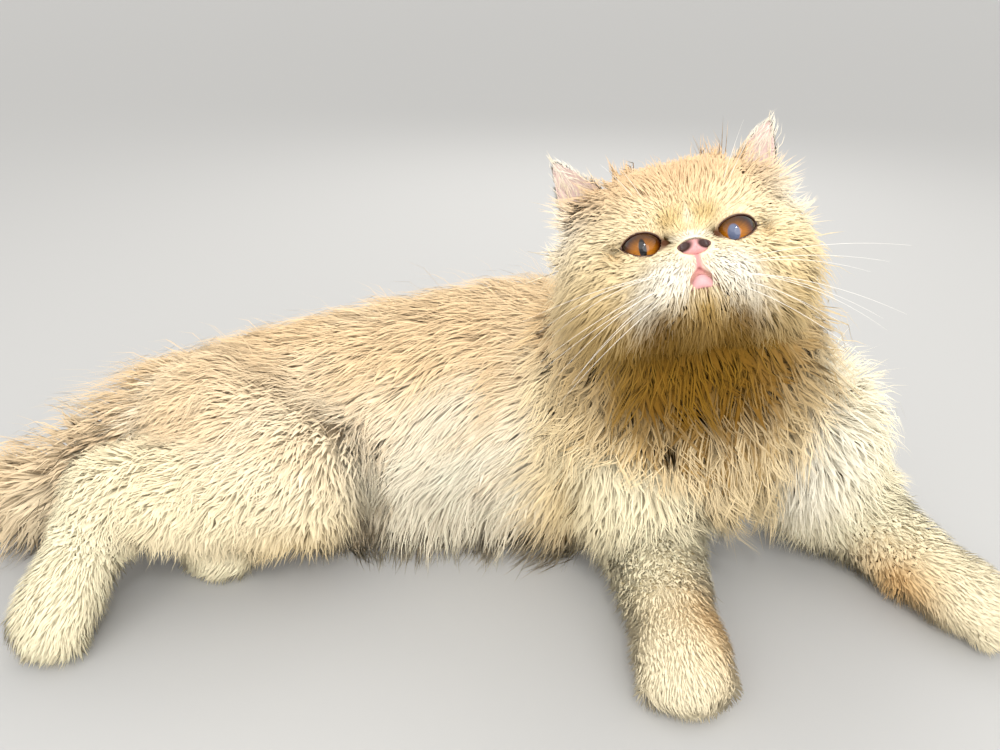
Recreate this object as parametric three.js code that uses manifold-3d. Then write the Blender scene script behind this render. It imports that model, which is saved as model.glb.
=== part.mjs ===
// A Persian cat at life size, lying on its chest with its hips rolled to one side and its face lifted.
// Millimetres, +Z up. +X runs from the rump to the chest, and the face looks towards -Y. "Right" and "left" are
// the cat's own. Every solid is the outline of the coat, and rests on small flats at z = 0.
import * as THREE from 'three';
import { mergeVertices } from 'three/addons/utils/BufferGeometryUtils.js';
import Module from 'manifold-3d';

const wasm = await Module();
wasm.setup();

// Driving dimensions.
const GAP = 0.3; // clearance between neighbouring pieces
const TRUNK_LENGTH = 330; // rump to brisket, along the curled back
const HUMERUS = 72;
const FOREARM = 90;
const FOREPAW = 43;
const FEMUR = 84;
const TIBIA = 124;
const HIND_FOOT = 86;
const TAIL_LENGTH = 160;
const SKULL = new THREE.Vector3(55, 47, 46); // half width, half depth and half height of the head under its coat
const EYE_RADIUS = 10.5;
const EYE_SPACING = 45;
const EAR_LENGTH = 45;

const point = (x, y, z) => new THREE.Vector3(x, y, z);
const degrees = THREE.MathUtils.degToRad;

// The place reached from a start by a length, at a bearing anticlockwise from +X and a climb above level.
function reach(start, length, bearing, climb) {
  const level = length * Math.cos(degrees(climb));
  return start.clone().add(point(
    level * Math.cos(degrees(bearing)),
    level * Math.sin(degrees(bearing)),
    length * Math.sin(degrees(climb)),
  ));
}

const between = (a, b, share) => a.clone().lerp(b, share);

// A section of a loft: its centre, half width and half height.
const girth = (at, wide, high = wide) => ({ at, wide, high });

// A closed body carried along a smooth line through its sections, with a domed end at each side. Its half widths
// lie level and its half heights stand square to the line; grow swells it evenly.
function loft(sections, { around = 12, along = 4, dome = 0.7, grow = 0, upright = point(0, 0, 1) } = {}) {
  const line = new THREE.CatmullRomCurve3(sections.map((s) => s.at), false, 'centripetal');
  const sizes = new THREE.CatmullRomCurve3(sections.map((s) => point(s.wide, s.high, 0)), false, 'centripetal');
  const domeRings = 2;
  const ring = (t, angle) => {
    const tangent = line.getTangent(t);
    const side = new THREE.Vector3().crossVectors(tangent, upright).normalize();
    const lift = new THREE.Vector3().crossVectors(side, tangent);
    const size = sizes.getPoint(t);
    const beyond = Math.sin(angle) * (dome * 0.5 * (size.x + size.y) + grow) * (t < 0.5 ? -1 : 1);
    return {
      centre: line.getPoint(t).addScaledVector(tangent, beyond),
      side: side.multiplyScalar((size.x + grow) * Math.cos(angle)),
      lift: lift.multiplyScalar((size.y + grow) * Math.cos(angle)),
    };
  };
  const domeAngle = (k) => (k / (domeRings + 1)) * (Math.PI / 2);
  const rings = [];
  for (let k = domeRings; k > 0; k -= 1) rings.push(ring(0, domeAngle(k)));
  for (let k = 0; k <= along; k += 1) rings.push(ring(k / along, 0));
  for (let k = 1; k <= domeRings; k += 1) rings.push(ring(1, domeAngle(k)));

  const vertices = [ring(0, Math.PI / 2).centre];
  rings.forEach(({ centre, side, lift }) => {
    for (let i = 0; i < around; i += 1) {
      const turn = (i / around) * Math.PI * 2;
      vertices.push(centre.clone().addScaledVector(side, Math.cos(turn)).addScaledVector(lift, Math.sin(turn)));
    }
  });
  vertices.push(ring(1, Math.PI / 2).centre);
  return closedGrid(vertices, rings.length, around);
}

// The faces of rings of vertices between a first and a last pole.
function closedGrid(vertices, ringCount, around) {
  const faces = [];
  const at = (k, i) => 1 + k * around + (i % around);
  const last = vertices.length - 1;
  for (let i = 0; i < around; i += 1) {
    faces.push(0, at(0, i), at(0, i + 1));
    for (let k = 0; k < ringCount - 1; k += 1) {
      faces.push(at(k, i), at(k + 1, i), at(k + 1, i + 1), at(k, i), at(k + 1, i + 1), at(k, i + 1));
    }
    faces.push(last, at(ringCount - 1, i + 1), at(ringCount - 1, i));
  }
  const geometry = new THREE.BufferGeometry().setFromPoints(vertices);
  geometry.setIndex(faces);
  return geometry;
}

// A geometry as a solid that can be cut and joined, turned the right way out.
function solid(geometry) {
  const bare = geometry.clone();
  bare.deleteAttribute('normal');
  bare.deleteAttribute('uv');
  const merged = mergeVertices(bare, 1e-3);
  const faces = merged.index.array;
  const shape = () => new wasm.Manifold(new wasm.Mesh({
    numProp: 3,
    vertProperties: merged.attributes.position.array,
    triVerts: new Uint32Array(faces),
  }));
  const made = shape();
  if (made.volume() > 0) return made;
  for (let i = 0; i < faces.length; i += 3) [faces[i], faces[i + 1]] = [faces[i + 1], faces[i]];
  return shape();
}

const join = (...shapes) => shapes.reduce((a, b) => a.add(b));
const cut = (shape, ...tools) => tools.reduce((a, b) => a.subtract(b), shape);
const biggest = (shape) => shape.decompose().reduce((a, b) => (b.volume() > a.volume() ? b : a));
const moved = (geometry, matrix) => geometry.clone().applyMatrix4(matrix);

// Everything under the floor, cut away so that what lies on it is flat there.
const underFloor = solid(new THREE.BoxGeometry(1200, 1200, 200).translate(0, 0, -100));

const surface = (color, roughness) => new THREE.MeshStandardMaterial({ color, roughness, metalness: 0 });
const materials = {
  cream: surface(0xe9c79a, 0.9),
  pale: surface(0xf0e2cb, 0.9),
  eye: surface(0x9a4a12, 0.05),
  nose: surface(0xc98480, 0.5),
};

const cat = new THREE.Group();

// Adds the largest body of a shape to a group as a named mesh.
function add(group, name, shape, material) {
  const { vertProperties, triVerts, numProp } = biggest(shape).getMesh();
  const places = new THREE.InterleavedBuffer(vertProperties, numProp);
  const geometry = new THREE.BufferGeometry();
  geometry.setAttribute('position', new THREE.InterleavedBufferAttribute(places, 3, 0));
  geometry.setIndex(new THREE.BufferAttribute(triVerts, 1));
  const mesh = new THREE.Mesh(geometry.toNonIndexed(), material);
  mesh.name = name;
  group.add(mesh);
}

// The trunk: from the rump along the curled back to the brisket, which turns towards the face's side.
const backStep = TRUNK_LENGTH / 5;
const rump = point(-220, 38, 58);
const pelvis = reach(rump, backStep * 0.6, 8, 12);
const loin = reach(pelvis, backStep * 1.05, 8, 4);
const waist = reach(loin, backStep * 1.15, 8, 3);
const ribs = reach(waist, backStep * 1.1, 0, 6);
const withers = reach(ribs, backStep * 1.05, -24, 3);
const brisket = reach(withers, backStep * 0.7, -36, -2);
const trunkLoft = (grow) => solid(loft([
  girth(rump, 50, 50), girth(pelvis, 66, 62), girth(loin, 76, 74), girth(waist, 83, 83),
  girth(ribs, 86, 90), girth(withers, 88, 88), girth(brisket, 70, 66),
], { around: 20, along: 11, grow }));

// The neck with its ruff, from between the shoulders up to the head.
const headCentre = point(118, -50, 232);
const neckLoft = (grow) => solid(loft([
  girth(point(134, 8, 104), 96, 82), girth(point(135, -20, 158), 94, 80), girth(point(121, -38, 200), 78, 68),
], { around: 18, along: 4, dome: 0.5, grow, upright: point(0, -1, 0) }));

// The head frame: its local -Y looks out of the face and its local +X is the cat's left.
const FACE_BEARING = -99.5;
const FACE_CLIMB = 34;
const HEAD_ROLL = 14;
const face = reach(point(0, 0, 0), 1, FACE_BEARING, FACE_CLIMB);
const crown = point(0, 0, 1).addScaledVector(face, -face.z).normalize().applyAxisAngle(face, degrees(HEAD_ROLL));
const leftward = new THREE.Vector3().crossVectors(crown, face);
const headFrame = new THREE.Matrix4().makeBasis(leftward, face.clone().negate(), crown).setPosition(headCentre);

// Swellings and hollows of the head: direction from its centre, height and angular spread; sided ones are mirrored.
const HEAD_FORMS = [
  { toward: point(0.90, 0.02, -0.42), height: 20, spread: 0.50, sided: true }, // cheek ruff
  { toward: point(0.62, -0.52, -0.52), height: 7, spread: 0.30, sided: true }, // jowl
  { toward: point(0.25, -0.88, -0.41), height: 11, spread: 0.17, sided: true }, // whisker pad
  { toward: point(0.38, -0.72, 0.45), height: 6, spread: 0.26, sided: true }, // brow
  { toward: point(0.52, 0.00, 0.80), height: 7, spread: 0.24, sided: true }, // fur between the ears
  { toward: point(0.28, -0.94, 0.04), height: -5, spread: 0.11, sided: true }, // inner corner of the eye
  { toward: point(0, -0.74, -0.68), height: 9, spread: 0.19 }, // chin
  { toward: point(0, -1.00, -0.16), height: 3, spread: 0.12 }, // nose
  { toward: point(0, -0.96, 0.22), height: -5, spread: 0.12 }, // break above the nose
  { toward: point(0, 0.10, 1.00), height: 6, spread: 0.60 }, // crown fur
  { toward: point(0, 1.00, -0.20), height: 16, spread: 0.60 }, // nape fur
];

function headRadius(direction) {
  const scaled = direction.clone().divide(SKULL);
  return HEAD_FORMS.reduce((sum, { toward, height, spread, sided }) => {
    const near = (side) => {
      const centre = point(side * toward.x, toward.y, toward.z).normalize();
      return height * Math.exp(-direction.distanceToSquared(centre) / (2 * spread * spread));
    };
    return sum + near(1) + (sided ? near(-1) : 0);
  }, 1 / scaled.length());
}

// The head as rings about its face axis, closest together on the face.
function headSkin(grow) {
  const around = 26;
  const ringCount = 18;
  const crowding = 1.3; // above 1, the rings crowd towards the nose
  const place = (polar, turn) => {
    const out = point(Math.sin(polar) * Math.cos(turn), -Math.cos(polar), Math.sin(polar) * Math.sin(turn));
    return out.multiplyScalar(headRadius(out) + grow);
  };
  const vertices = [place(0, 0)];
  for (let k = 1; k <= ringCount; k += 1) {
    const polar = Math.PI * (k / (ringCount + 1)) ** crowding;
    for (let i = 0; i < around; i += 1) vertices.push(place(polar, (i / around) * Math.PI * 2));
  }
  vertices.push(place(Math.PI, 0));
  return closedGrid(vertices, ringCount, around);
}

const EYE_DEPTH = -33; // the eyeball's centre along the head's front to back axis
const EYE_HEIGHT = -0.5;
const LID_OPENING = new THREE.Vector3(10, 24, 6.5); // half width, half depth and half height between the lids
const LID_SLANT = 8; // outer corners higher than the inner ones
const eyeball = (side, grow) => solid(new THREE.SphereGeometry(EYE_RADIUS + grow, 14, 9)
  .rotateX(Math.PI / 2).translate((side * EYE_SPACING) / 2, EYE_DEPTH, EYE_HEIGHT));

// The almond between the lids, through which the eyeball shows.
const lidOpening = (side) => solid(new THREE.SphereGeometry(1, 14, 7).rotateX(Math.PI / 2)
  .scale(LID_OPENING.x, LID_OPENING.y, LID_OPENING.z).rotateY(degrees(-side * LID_SLANT))
  .translate((side * EYE_SPACING) / 2, EYE_DEPTH - LID_OPENING.y * 0.4, EYE_HEIGHT));

// One ear: a flattened cone whose front is scooped out.
function ear(side) {
  const root = point(side * 41.5, 6, 31);
  const lean = point(side * 0.44, -0.06, 0.90).normalize();
  const upright = point(0, -1, 0);
  const up = (share, forward = 0) => root.clone().addScaledVector(lean, EAR_LENGTH * share).add(point(0, -forward, 0));
  const shell = loft([girth(up(0), 19, 11), girth(up(0.45), 14, 8), girth(up(0.97), 2.5, 2)], { upright });
  const bowl = loft([girth(up(0.12, 10), 14, 10), girth(up(0.5, 8), 9.5, 7), girth(up(0.92, 5), 2, 2.5)], { upright });
  return solid(shell).subtract(solid(bowl));
}

// The nose leather, a small rounded wedge on the tip of the muzzle.
const nose = (grow) => solid(new THREE.SphereGeometry(1, 12, 8).scale(8.5 + grow, 5 + grow, 5 + grow)
  .translate(0, -49.5, -7.5));

// The lower jaw is the part of the head inside this rounded form, under the mouth.
const jawForm = (grow) => solid(new THREE.SphereGeometry(1, 14, 9).scale(23 + grow, 30 + grow, 17 + grow)
  .translate(0, -37, -43));

// Forelegs: shoulder to elbow to wrist to toes.
function foreleg({ shoulder, upper, lower, paw }) {
  const elbow = reach(shoulder, HUMERUS, ...upper);
  const wrist = reach(elbow, FOREARM, ...lower);
  const toes = reach(wrist, FOREPAW, ...paw);
  return {
    limb: (grow) => join(
      solid(loft([girth(shoulder, 46, 44), girth(between(shoulder, elbow, 0.6), 42, 43), girth(elbow, 40, 38)],
        { along: 3, grow, upright: point(0, -1, 0) })),
      solid(loft([girth(elbow, 42, 40), girth(between(elbow, wrist, 0.55), 34, 32), girth(wrist, 28, 26)],
        { grow })),
    ),
    paw: (grow) => solid(loft(
      [girth(wrist, 27, 24), girth(between(wrist, toes, 0.55), 32, 24), girth(toes, 28, 18)], { dome: 0.62, grow },
    )),
  };
}
const foreRight = foreleg({ shoulder: point(106, -34, 108), upper: [50, -74], lower: [-87, -9], paw: [-87, -9] });
const foreLeft = foreleg({ shoulder: point(222, -10, 100), upper: [32, -58], lower: [-59, -10], paw: [-44, -9] });

// The right hind leg, uppermost: thigh forward, shank back, foot stretched out behind.
const hipRight = point(-178, 24, 84);
const kneeRight = reach(hipRight, FEMUR, -32, -12);
const hockRight = reach(kneeRight, TIBIA, 191, 2);
const toesRight = reach(hockRight, HIND_FOOT, -113, -40);
const thighRight = (grow) => solid(loft(
  [girth(hipRight, 58, 54), girth(between(hipRight, kneeRight, 0.5), 60, 56), girth(kneeRight, 46, 46)],
  { around: 14, along: 5, grow },
));
const shankRight = (grow) => solid(loft(
  [girth(kneeRight, 44, 42), girth(between(kneeRight, hockRight, 0.5), 40, 38), girth(hockRight, 31, 31)],
  { around: 14, along: 5, grow },
));
const footRight = (grow) => solid(loft(
  [girth(hockRight, 30, 30), girth(between(hockRight, toesRight, 0.45), 27, 26),
    girth(between(hockRight, toesRight, 0.82), 29, 24), girth(toesRight, 25, 18)],
  { along: 6, grow, dome: 0.6 },
));

// The left hind leg, folded under: its knee and foot show below the right shank.
const kneeLeft = point(-164, -18, 34);
const hockLeft = point(-152, 46, 26);
const toesLeft = reach(hockLeft, HIND_FOOT, -106, -7);
const shankLeft = (grow) => solid(loft([girth(kneeLeft, 36, 33), girth(hockLeft, 26, 24)], { along: 3, grow }));
const footLeft = (grow) => solid(loft(
  [girth(hockLeft, 24, 22), girth(between(hockLeft, toesLeft, 0.6), 26, 21), girth(toesLeft, 26, 18)],
  { grow, dome: 0.6 },
));

// The tail, a low brush that leaves the rump, sinks to the floor and ends beyond the hind foot.
const tailPlaces = [point(-224, 40, 74)];
[[-152, -22], [-164, -24], [-176, -17], [-190, -5]].forEach((turn) => {
  tailPlaces.push(reach(tailPlaces.at(-1), TAIL_LENGTH / 4, ...turn));
});
const brush = (places, sizes) => (grow) => solid(loft(
  places.map((at, i) => girth(at, ...sizes[i])), { grow, along: 3, dome: 0.9 },
));
const tailRoot = brush(tailPlaces.slice(0, 3), [[42, 42], [42, 42], [40, 40]]);
const tailEnd = brush(tailPlaces.slice(2), [[41, 41], [34, 33], [25, 28]]);

// Parts the model: each piece gives way to the ones named before it, with a thin gap.
const head = new THREE.Group();
head.applyMatrix4(headFrame);
cat.add(head);
const headInPose = solid(moved(headSkin(GAP), headFrame));
const taken = [trunkLoft(GAP)]; // what the next piece gives way to

add(cat, 'trunk', cut(trunkLoft(0), underFloor), materials.cream);
add(cat, 'neck', cut(neckLoft(0), ...taken, headInPose, underFloor), materials.pale);
taken.push(neckLoft(GAP), headInPose);

const sockets = [-1, 1].flatMap((side) => [eyeball(side, GAP), lidOpening(side)]);
const wholeHead = cut(solid(headSkin(0)), ...sockets, nose(GAP));
add(head, 'head', cut(wholeHead, jawForm(GAP)), materials.cream);
add(head, 'lower_jaw', wholeHead.intersect(jawForm(0)), materials.cream);
add(head, 'nose', nose(0), materials.nose);
[['right', -1], ['left', 1]].forEach(([name, side]) => {
  add(head, `eye_${name}`, eyeball(side, 0), materials.eye);
  add(head, `ear_${name}`, cut(ear(side), solid(headSkin(GAP))), materials.cream);
});

[['right', foreRight], ['left', foreLeft]].forEach(([name, leg]) => {
  add(cat, `foreleg_${name}`, cut(leg.limb(0), ...taken, leg.paw(GAP), underFloor), materials.pale);
  add(cat, `forepaw_${name}`, cut(leg.paw(0), underFloor), materials.pale);
});
taken.push(foreRight.limb(GAP), foreLeft.limb(GAP));

// The folded hind leg and the tail lie against these, in this order.
[
  ['hind_foot_right', footRight, materials.pale],
  ['thigh_right', thighRight, materials.cream],
  ['shank_right', shankRight, materials.cream],
  ['hind_foot_left', footLeft, materials.pale],
  ['shank_left', shankLeft, materials.cream],
  ['tail_root', tailRoot, materials.cream],
  ['tail_end', tailEnd, materials.cream],
].forEach(([name, shape, material]) => {
  add(cat, name, cut(shape(0), ...taken, underFloor), material);
  taken.push(shape(GAP));
});

// The origin is on the floor, under the middle of the whole model.
const extent = new THREE.Box3().setFromObject(cat, true);
const middle = extent.getCenter(new THREE.Vector3());
cat.position.set(-middle.x, -middle.y, 0);

export default cat;
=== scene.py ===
"""A life-size longhaired cat, lying on its chest with its hips rolled to one side and its face lifted.

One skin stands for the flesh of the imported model, and a coat of solid locks lies over it. Lengths are in metres.
"Right" and "left" are the cat's own.
"""

import math

import bmesh
import bpy
import numpy as np
from bpy.props import FloatProperty, FloatVectorProperty, IntProperty, PointerProperty
from mathutils.bvhtree import BVHTree
from mathutils.kdtree import KDTree
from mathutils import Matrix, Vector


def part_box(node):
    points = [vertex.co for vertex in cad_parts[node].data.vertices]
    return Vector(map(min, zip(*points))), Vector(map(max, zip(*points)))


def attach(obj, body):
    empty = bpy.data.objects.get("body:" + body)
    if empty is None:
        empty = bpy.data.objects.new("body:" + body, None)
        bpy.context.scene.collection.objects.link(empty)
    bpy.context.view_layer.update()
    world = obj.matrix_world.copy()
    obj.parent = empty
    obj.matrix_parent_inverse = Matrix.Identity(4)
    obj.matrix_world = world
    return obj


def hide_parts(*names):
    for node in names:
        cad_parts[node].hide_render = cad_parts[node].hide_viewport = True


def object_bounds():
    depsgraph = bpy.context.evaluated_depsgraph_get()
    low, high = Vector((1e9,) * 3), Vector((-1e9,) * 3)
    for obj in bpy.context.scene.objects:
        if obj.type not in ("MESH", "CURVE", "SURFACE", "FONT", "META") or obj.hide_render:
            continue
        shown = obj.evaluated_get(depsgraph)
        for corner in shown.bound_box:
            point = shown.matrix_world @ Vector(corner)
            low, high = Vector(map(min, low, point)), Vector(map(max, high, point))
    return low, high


bl_info = {
    "name": "Lying longhaired cat",
    "version": (1, 0, 0),
    "blender": (4, 5, 0),
    "location": "View3D > Sidebar > Cat",
    "description": "Skin, coat, eyes, nose and whiskers of a life-size lying cat",
    "category": "Object",
}

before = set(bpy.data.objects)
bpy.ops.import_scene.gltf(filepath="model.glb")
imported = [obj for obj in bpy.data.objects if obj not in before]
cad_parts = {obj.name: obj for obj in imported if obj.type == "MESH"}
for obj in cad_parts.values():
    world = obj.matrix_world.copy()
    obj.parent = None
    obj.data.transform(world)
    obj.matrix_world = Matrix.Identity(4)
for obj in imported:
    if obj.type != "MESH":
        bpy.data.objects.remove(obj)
CAD_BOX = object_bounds()

UP = np.array((0.0, 0.0, 1.0))
FLOOR_GAP = 0.0006  # hairs stay this far above the floor


def mm(*values):
    """Millimetres as an array in metres."""
    return np.array(values, float) * 0.001


def tint(red, green, blue):
    """A colour seen on a screen, 0 to 255, as the linear light that the shaders use."""
    seen = np.array((red, green, blue), float) / 255
    return tuple(np.where(seen <= 0.04045, seen / 12.92, ((seen + 0.055) / 1.055) ** 2.4))


def unit(vectors):
    """Vectors at length one; the last axis holds x, y, z."""
    return vectors / np.maximum(np.linalg.norm(vectors, axis=-1, keepdims=True), 1e-12)


def dot(a, b):
    """Row by row scalar product, kept as a column."""
    return (a * b).sum(-1, keepdims=True)


def step(low, high, values):
    """0 below low, 1 above high, and the smooth S-curve 3t^2 - 2t^3 between them."""
    t = np.clip((values - low) / (high - low), 0, 1)
    return t * t * (3 - 2 * t)


def mix(a, b, share):
    """a where share is 0, b where it is 1."""
    share = np.asarray(share, float)
    if np.ndim(a) > share.ndim or np.ndim(b) > share.ndim:
        share = share[..., None]
    return np.asarray(a) * (1 - share) + np.asarray(b) * share


def reach(start, length, bearing, climb):
    """The place reached from start by a length, at a bearing anticlockwise from +X and a climb above level."""
    b, c = math.radians(bearing), math.radians(climb)
    return start + length * np.array((math.cos(c) * math.cos(b), math.cos(c) * math.sin(b), math.sin(c)))


def turned(vector, axis, angle):
    """A vector turned about a unit axis: v cos a + (k x v) sin a + k (k.v)(1 - cos a)."""
    c, s = math.cos(angle), math.sin(angle)
    return vector * c + np.cross(axis, vector) * s + axis * (axis @ vector) * (1 - c)


# The head's frame: local x is the cat's left, local y goes back from the face and local z to the crown.
FACE_BEARING = -99.5
FACE_CLIMB = 34.0
HEAD_ROLL = 14.0
FACE = reach(np.zeros(3), 1.0, FACE_BEARING, FACE_CLIMB)
CROWN = turned(unit(UP - FACE * FACE[2]), FACE, math.radians(HEAD_ROLL))
HEAD_AXES = np.stack([np.cross(CROWN, FACE), -FACE, CROWN])

EYE_RADIUS = 0.0105
EYE_PLACE = mm(22.5, -33, -0.5)  # the left eyeball's centre in the head's frame
POSE_HEAD = mm(118, -50, 232)


def packed_head():
    """The head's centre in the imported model, found from the middle of its two eyeballs."""
    corners = [np.array(corner) for node in ("eye_right", "eye_left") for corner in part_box(node)]
    return np.mean(corners, axis=0) - (EYE_PLACE * (0, 1, 1)) @ HEAD_AXES


HEAD = packed_head()
SHIFT = HEAD - POSE_HEAD


def at(x, y, z):
    """A place of the pose, given in millimetres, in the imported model's frame."""
    return mm(x, y, z) + SHIFT


def to_head(points):
    """Points in the head's frame."""
    return (points - HEAD) @ HEAD_AXES.T


def from_head(points):
    """Points of the head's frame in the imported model's frame."""
    return points @ HEAD_AXES + HEAD


def smooth_line(knots, count):
    """A Catmull-Rom line through the knots, at count evenly spread parameters.

    Between knots p1 and p2 it is the cubic with those ends and the slopes (p2 - p0)/2 and (p3 - p1)/2.
    """
    knots = np.asarray(knots, float)
    ends = np.vstack([2 * knots[0] - knots[1], knots, 2 * knots[-1] - knots[-2]])
    t = np.linspace(0, len(knots) - 1, count)
    k = np.minimum(t.astype(int), len(knots) - 2)
    u = (t - k)[:, None]
    p0, p1, p2, p3 = ends[k], ends[k + 1], ends[k + 2], ends[k + 3]
    m1, m2 = (p2 - p0) / 2, (p3 - p1) / 2
    return ((2 * u**3 - 3 * u**2 + 1) * p1 + (u**3 - 2 * u**2 + u) * m1
            + (3 * u**2 - 2 * u**3) * p2 + (u**3 - u**2) * m2)


class Limb:
    """A length of the body: a smooth line with a level half width and an upright half height along it.

    Its surface is centre + side * width * cos(a) + lift * height * sin(a), for a turn a about the line.
    A dome closes each end: there the line runs on by dome * (width + height)/2 * sin(b) as both halves shrink by
    cos(b).
    """

    def __init__(self, places, halves, upright=UP, dome=0.7, rows=28):
        self.line = smooth_line(places, rows)
        self.half = smooth_line(np.asarray(halves) * 0.001, rows)
        self.tangent = unit(np.gradient(self.line, axis=0))
        self.side = unit(np.cross(self.tangent, upright))
        self.lift = np.cross(self.side, self.tangent)
        self.dome = dome

    def surface(self, around=40, dome_rows=6):
        """A grid of points, rows by turns, from pole to pole."""
        b = np.linspace(math.pi / 2, 0, dome_rows + 1)[:-1]
        ends = []
        for row, sign in ((0, -1), (-1, 1)):
            out = np.sin(b)[:, None] * self.dome * self.half[row].mean() * sign
            ends.append((self.line[row] + self.tangent[row] * out, self.half[row] * np.cos(b)[:, None]))
        (first, first_half), (last, last_half) = ends
        centre = np.vstack([first, self.line, last[::-1]])
        half = np.vstack([first_half, self.half, last_half[::-1]])
        repeat = np.ones(len(self.line), int)
        repeat[[0, -1]] += dome_rows
        side, lift = (np.repeat(v, repeat, axis=0) for v in (self.side, self.lift))
        a = np.linspace(0, 2 * math.pi, around, endpoint=False)[None, :, None]
        return (centre[:, None] + side[:, None] * half[:, None, :1] * np.cos(a)
                + lift[:, None] * half[:, None, 1:] * np.sin(a))

    def reading(self, points):
        """For each point: the row nearest to it, how far it lies outside the surface, and its turn, 0 to 1."""
        reach2 = ((points[:, None] - self.line[None]) ** 2).sum(-1)
        row = reach2.argmin(1)
        from_line = points - self.line[row]
        half = self.half[row]
        across = (from_line * self.side[row]).sum(1) / half[:, 0]
        upward = (from_line * self.lift[row]).sum(1) / half[:, 1]
        along = (from_line * self.tangent[row]).sum(1) / (self.dome * half.mean(1))
        ends = ((row == 0) & (along < 0)) | ((row == len(self.line) - 1) & (along > 0))
        radial = np.sqrt(across**2 + upward**2 + np.where(ends, along, 0) ** 2)
        return row, (radial - 1) * half.mean(1), np.arctan2(upward, across) / (2 * math.pi) % 1


CAMERA = at(20, -440, 360)
CAMERA_TILT = 27.0  # degrees below level
CAMERA_UP = np.array((0, 0.454, 0.891))  # upward in the picture: the sine and cosine of the tilt
LENS, SENSOR = 27.0, 36.0  # mm


def make_limbs():
    """The lengths of the body under the coat, by name."""
    step_back = 0.33 / 5
    rump = at(-220, 38, 58)
    pelvis = reach(rump, step_back * 0.6, 8, 12)
    loin = reach(pelvis, step_back * 1.05, 8, 4)
    waist = reach(loin, step_back * 1.15, 8, 3)
    ribs = reach(waist, step_back * 1.1, 0, 6)
    withers = reach(ribs, step_back * 1.05, -24, 3)
    brisket = reach(withers, step_back * 0.7, -36, -2)
    limbs = {
        "trunk": Limb(
            [rump, pelvis, loin, waist, ribs, withers, brisket],
            [(36, 36), (50, 46), (58, 57), (64, 66), (67, 71), (67, 70), (50, 46)], rows=48),
        "neck": Limb(
            [at(136, 8, 104), at(134, -16, 158), at(121, -34, 200)],
            [(66, 54), (58, 48), (48, 42)], upright=np.array((0, -1.0, 0)), dome=0.5),
    }
    for name, shoulder, upper, lower, paw in (
        ("fore_right", at(106, -34, 108), (50, -74), (-87, -9), (-87, -9)),
        ("fore_left", at(222, -10, 100), (32, -58), (-59, -10), (-44, -9)),
    ):
        elbow = reach(shoulder, 0.072, *upper)
        wrist = reach(elbow, 0.090, *lower)
        toes = reach(wrist, 0.038, *paw)
        limbs[f"{name}_upper"] = Limb(
            [shoulder, mix(shoulder, elbow, 0.6), elbow], [(32, 31), (30, 30), (29, 28)],
            upright=np.array((0, -1.0, 0)))
        limbs[f"{name}_lower"] = Limb(
            [elbow, mix(elbow, wrist, 0.55), wrist], [(30, 29), (24, 23), (20.5, 19)])
        limbs[f"{name}_paw"] = Limb(
            [wrist, mix(wrist, toes, 0.55), toes], [(20.5, 18.5), (26, 19), (22.5, 13.5)], dome=0.55)
    hip = at(-178, 24, 84)
    knee = reach(hip, 0.084, -32, -12)
    hock = reach(knee, 0.124, 191, 2)
    toes = reach(hock, 0.086, -113, -40)
    limbs["thigh"] = Limb([hip, mix(hip, knee, 0.5), knee], [(45, 42), (47, 44), (36, 36)])
    limbs["shank"] = Limb([knee, mix(knee, hock, 0.5), hock], [(34, 32), (30, 28), (22, 22)])
    limbs["hind_foot"] = Limb(
        [hock, mix(hock, toes, 0.45), mix(hock, toes, 0.82), toes],
        [(22, 22), (19, 18), (23, 18), (20, 13)], dome=0.55)
    knee, hock = at(-164, -18, 34), at(-152, 46, 26)
    toes = reach(hock, 0.086, -106, -7)
    limbs["shank_under"] = Limb([knee, mix(knee, hock, 0.5), hock], [(26, 24), (22, 20), (18, 16)])
    limbs["foot_under"] = Limb(
        [hock, mix(hock, toes, 0.6), toes], [(18, 16), (21, 16), (20.5, 13)], dome=0.55)
    tail = [at(-224, 40, 74)]
    for turn in ((-152, -22), (-164, -24), (-176, -17), (-190, -5)):
        tail.append(reach(tail[-1], 0.040, *turn))
    limbs["tail"] = Limb(tail, [(15, 15), (13, 13), (11, 11), (9.5, 9.5), (7, 7)], rows=36)
    return limbs


LIMBS = make_limbs()

# Swellings and hollows of the head under its coat: direction from its centre, height in mm, spread, and whether
# the other side has it too.
HEAD_FORMS = (
    ((0.90, 0.00, -0.40), 6, 0.45, True),  # cheek
    ((0.62, -0.52, -0.52), 5, 0.30, True),  # jowl
    ((0.25, -0.88, -0.42), 10.5, 0.165, True),  # whisker pad
    ((0.38, -0.72, 0.45), 5.5, 0.26, True),  # brow
    ((0.28, -0.94, 0.04), -5, 0.11, True),  # inner corner of the eye
    ((0.0, -0.74, -0.68), 9, 0.19, False),  # chin
    ((0.0, -1.00, -0.17), 3, 0.12, False),  # nose
    ((0.0, -0.96, 0.22), -5, 0.12, False),  # break above the nose
)
SKULL = mm(55, 47, 46)

# The opening between the lids, in the plane across the eye: x outward, z up.
LID_HALF_WIDTH = 0.0105
LID_UPPER = 0.0056
LID_LOWER = 0.0060
LID_SLANT = math.radians(9)
LID_THICKNESS = 0.0009


def head_radius(toward):
    """How far the head's skin lies from its centre in each unit direction of the head's frame.

    It is an ellipsoid with a rounded bump height * exp(-|d - c|^2 / (2 spread^2)) for each form, less the
    depth of the short coat, which grows from the nose to the back of the head.
    """
    radius = 1 / np.linalg.norm(toward / SKULL, axis=1)
    for (x, y, z), height, spread, sided in HEAD_FORMS:
        for side in (-1, 1) if sided else (1,):
            centre = unit(np.array((side * x, y, z)))
            radius += 0.001 * height * np.exp(-((toward - centre) ** 2).sum(1) / (2 * spread**2))
    return radius - 0.0018 - 0.0055 * step(-0.85, -0.1, toward[:, 1])


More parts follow.
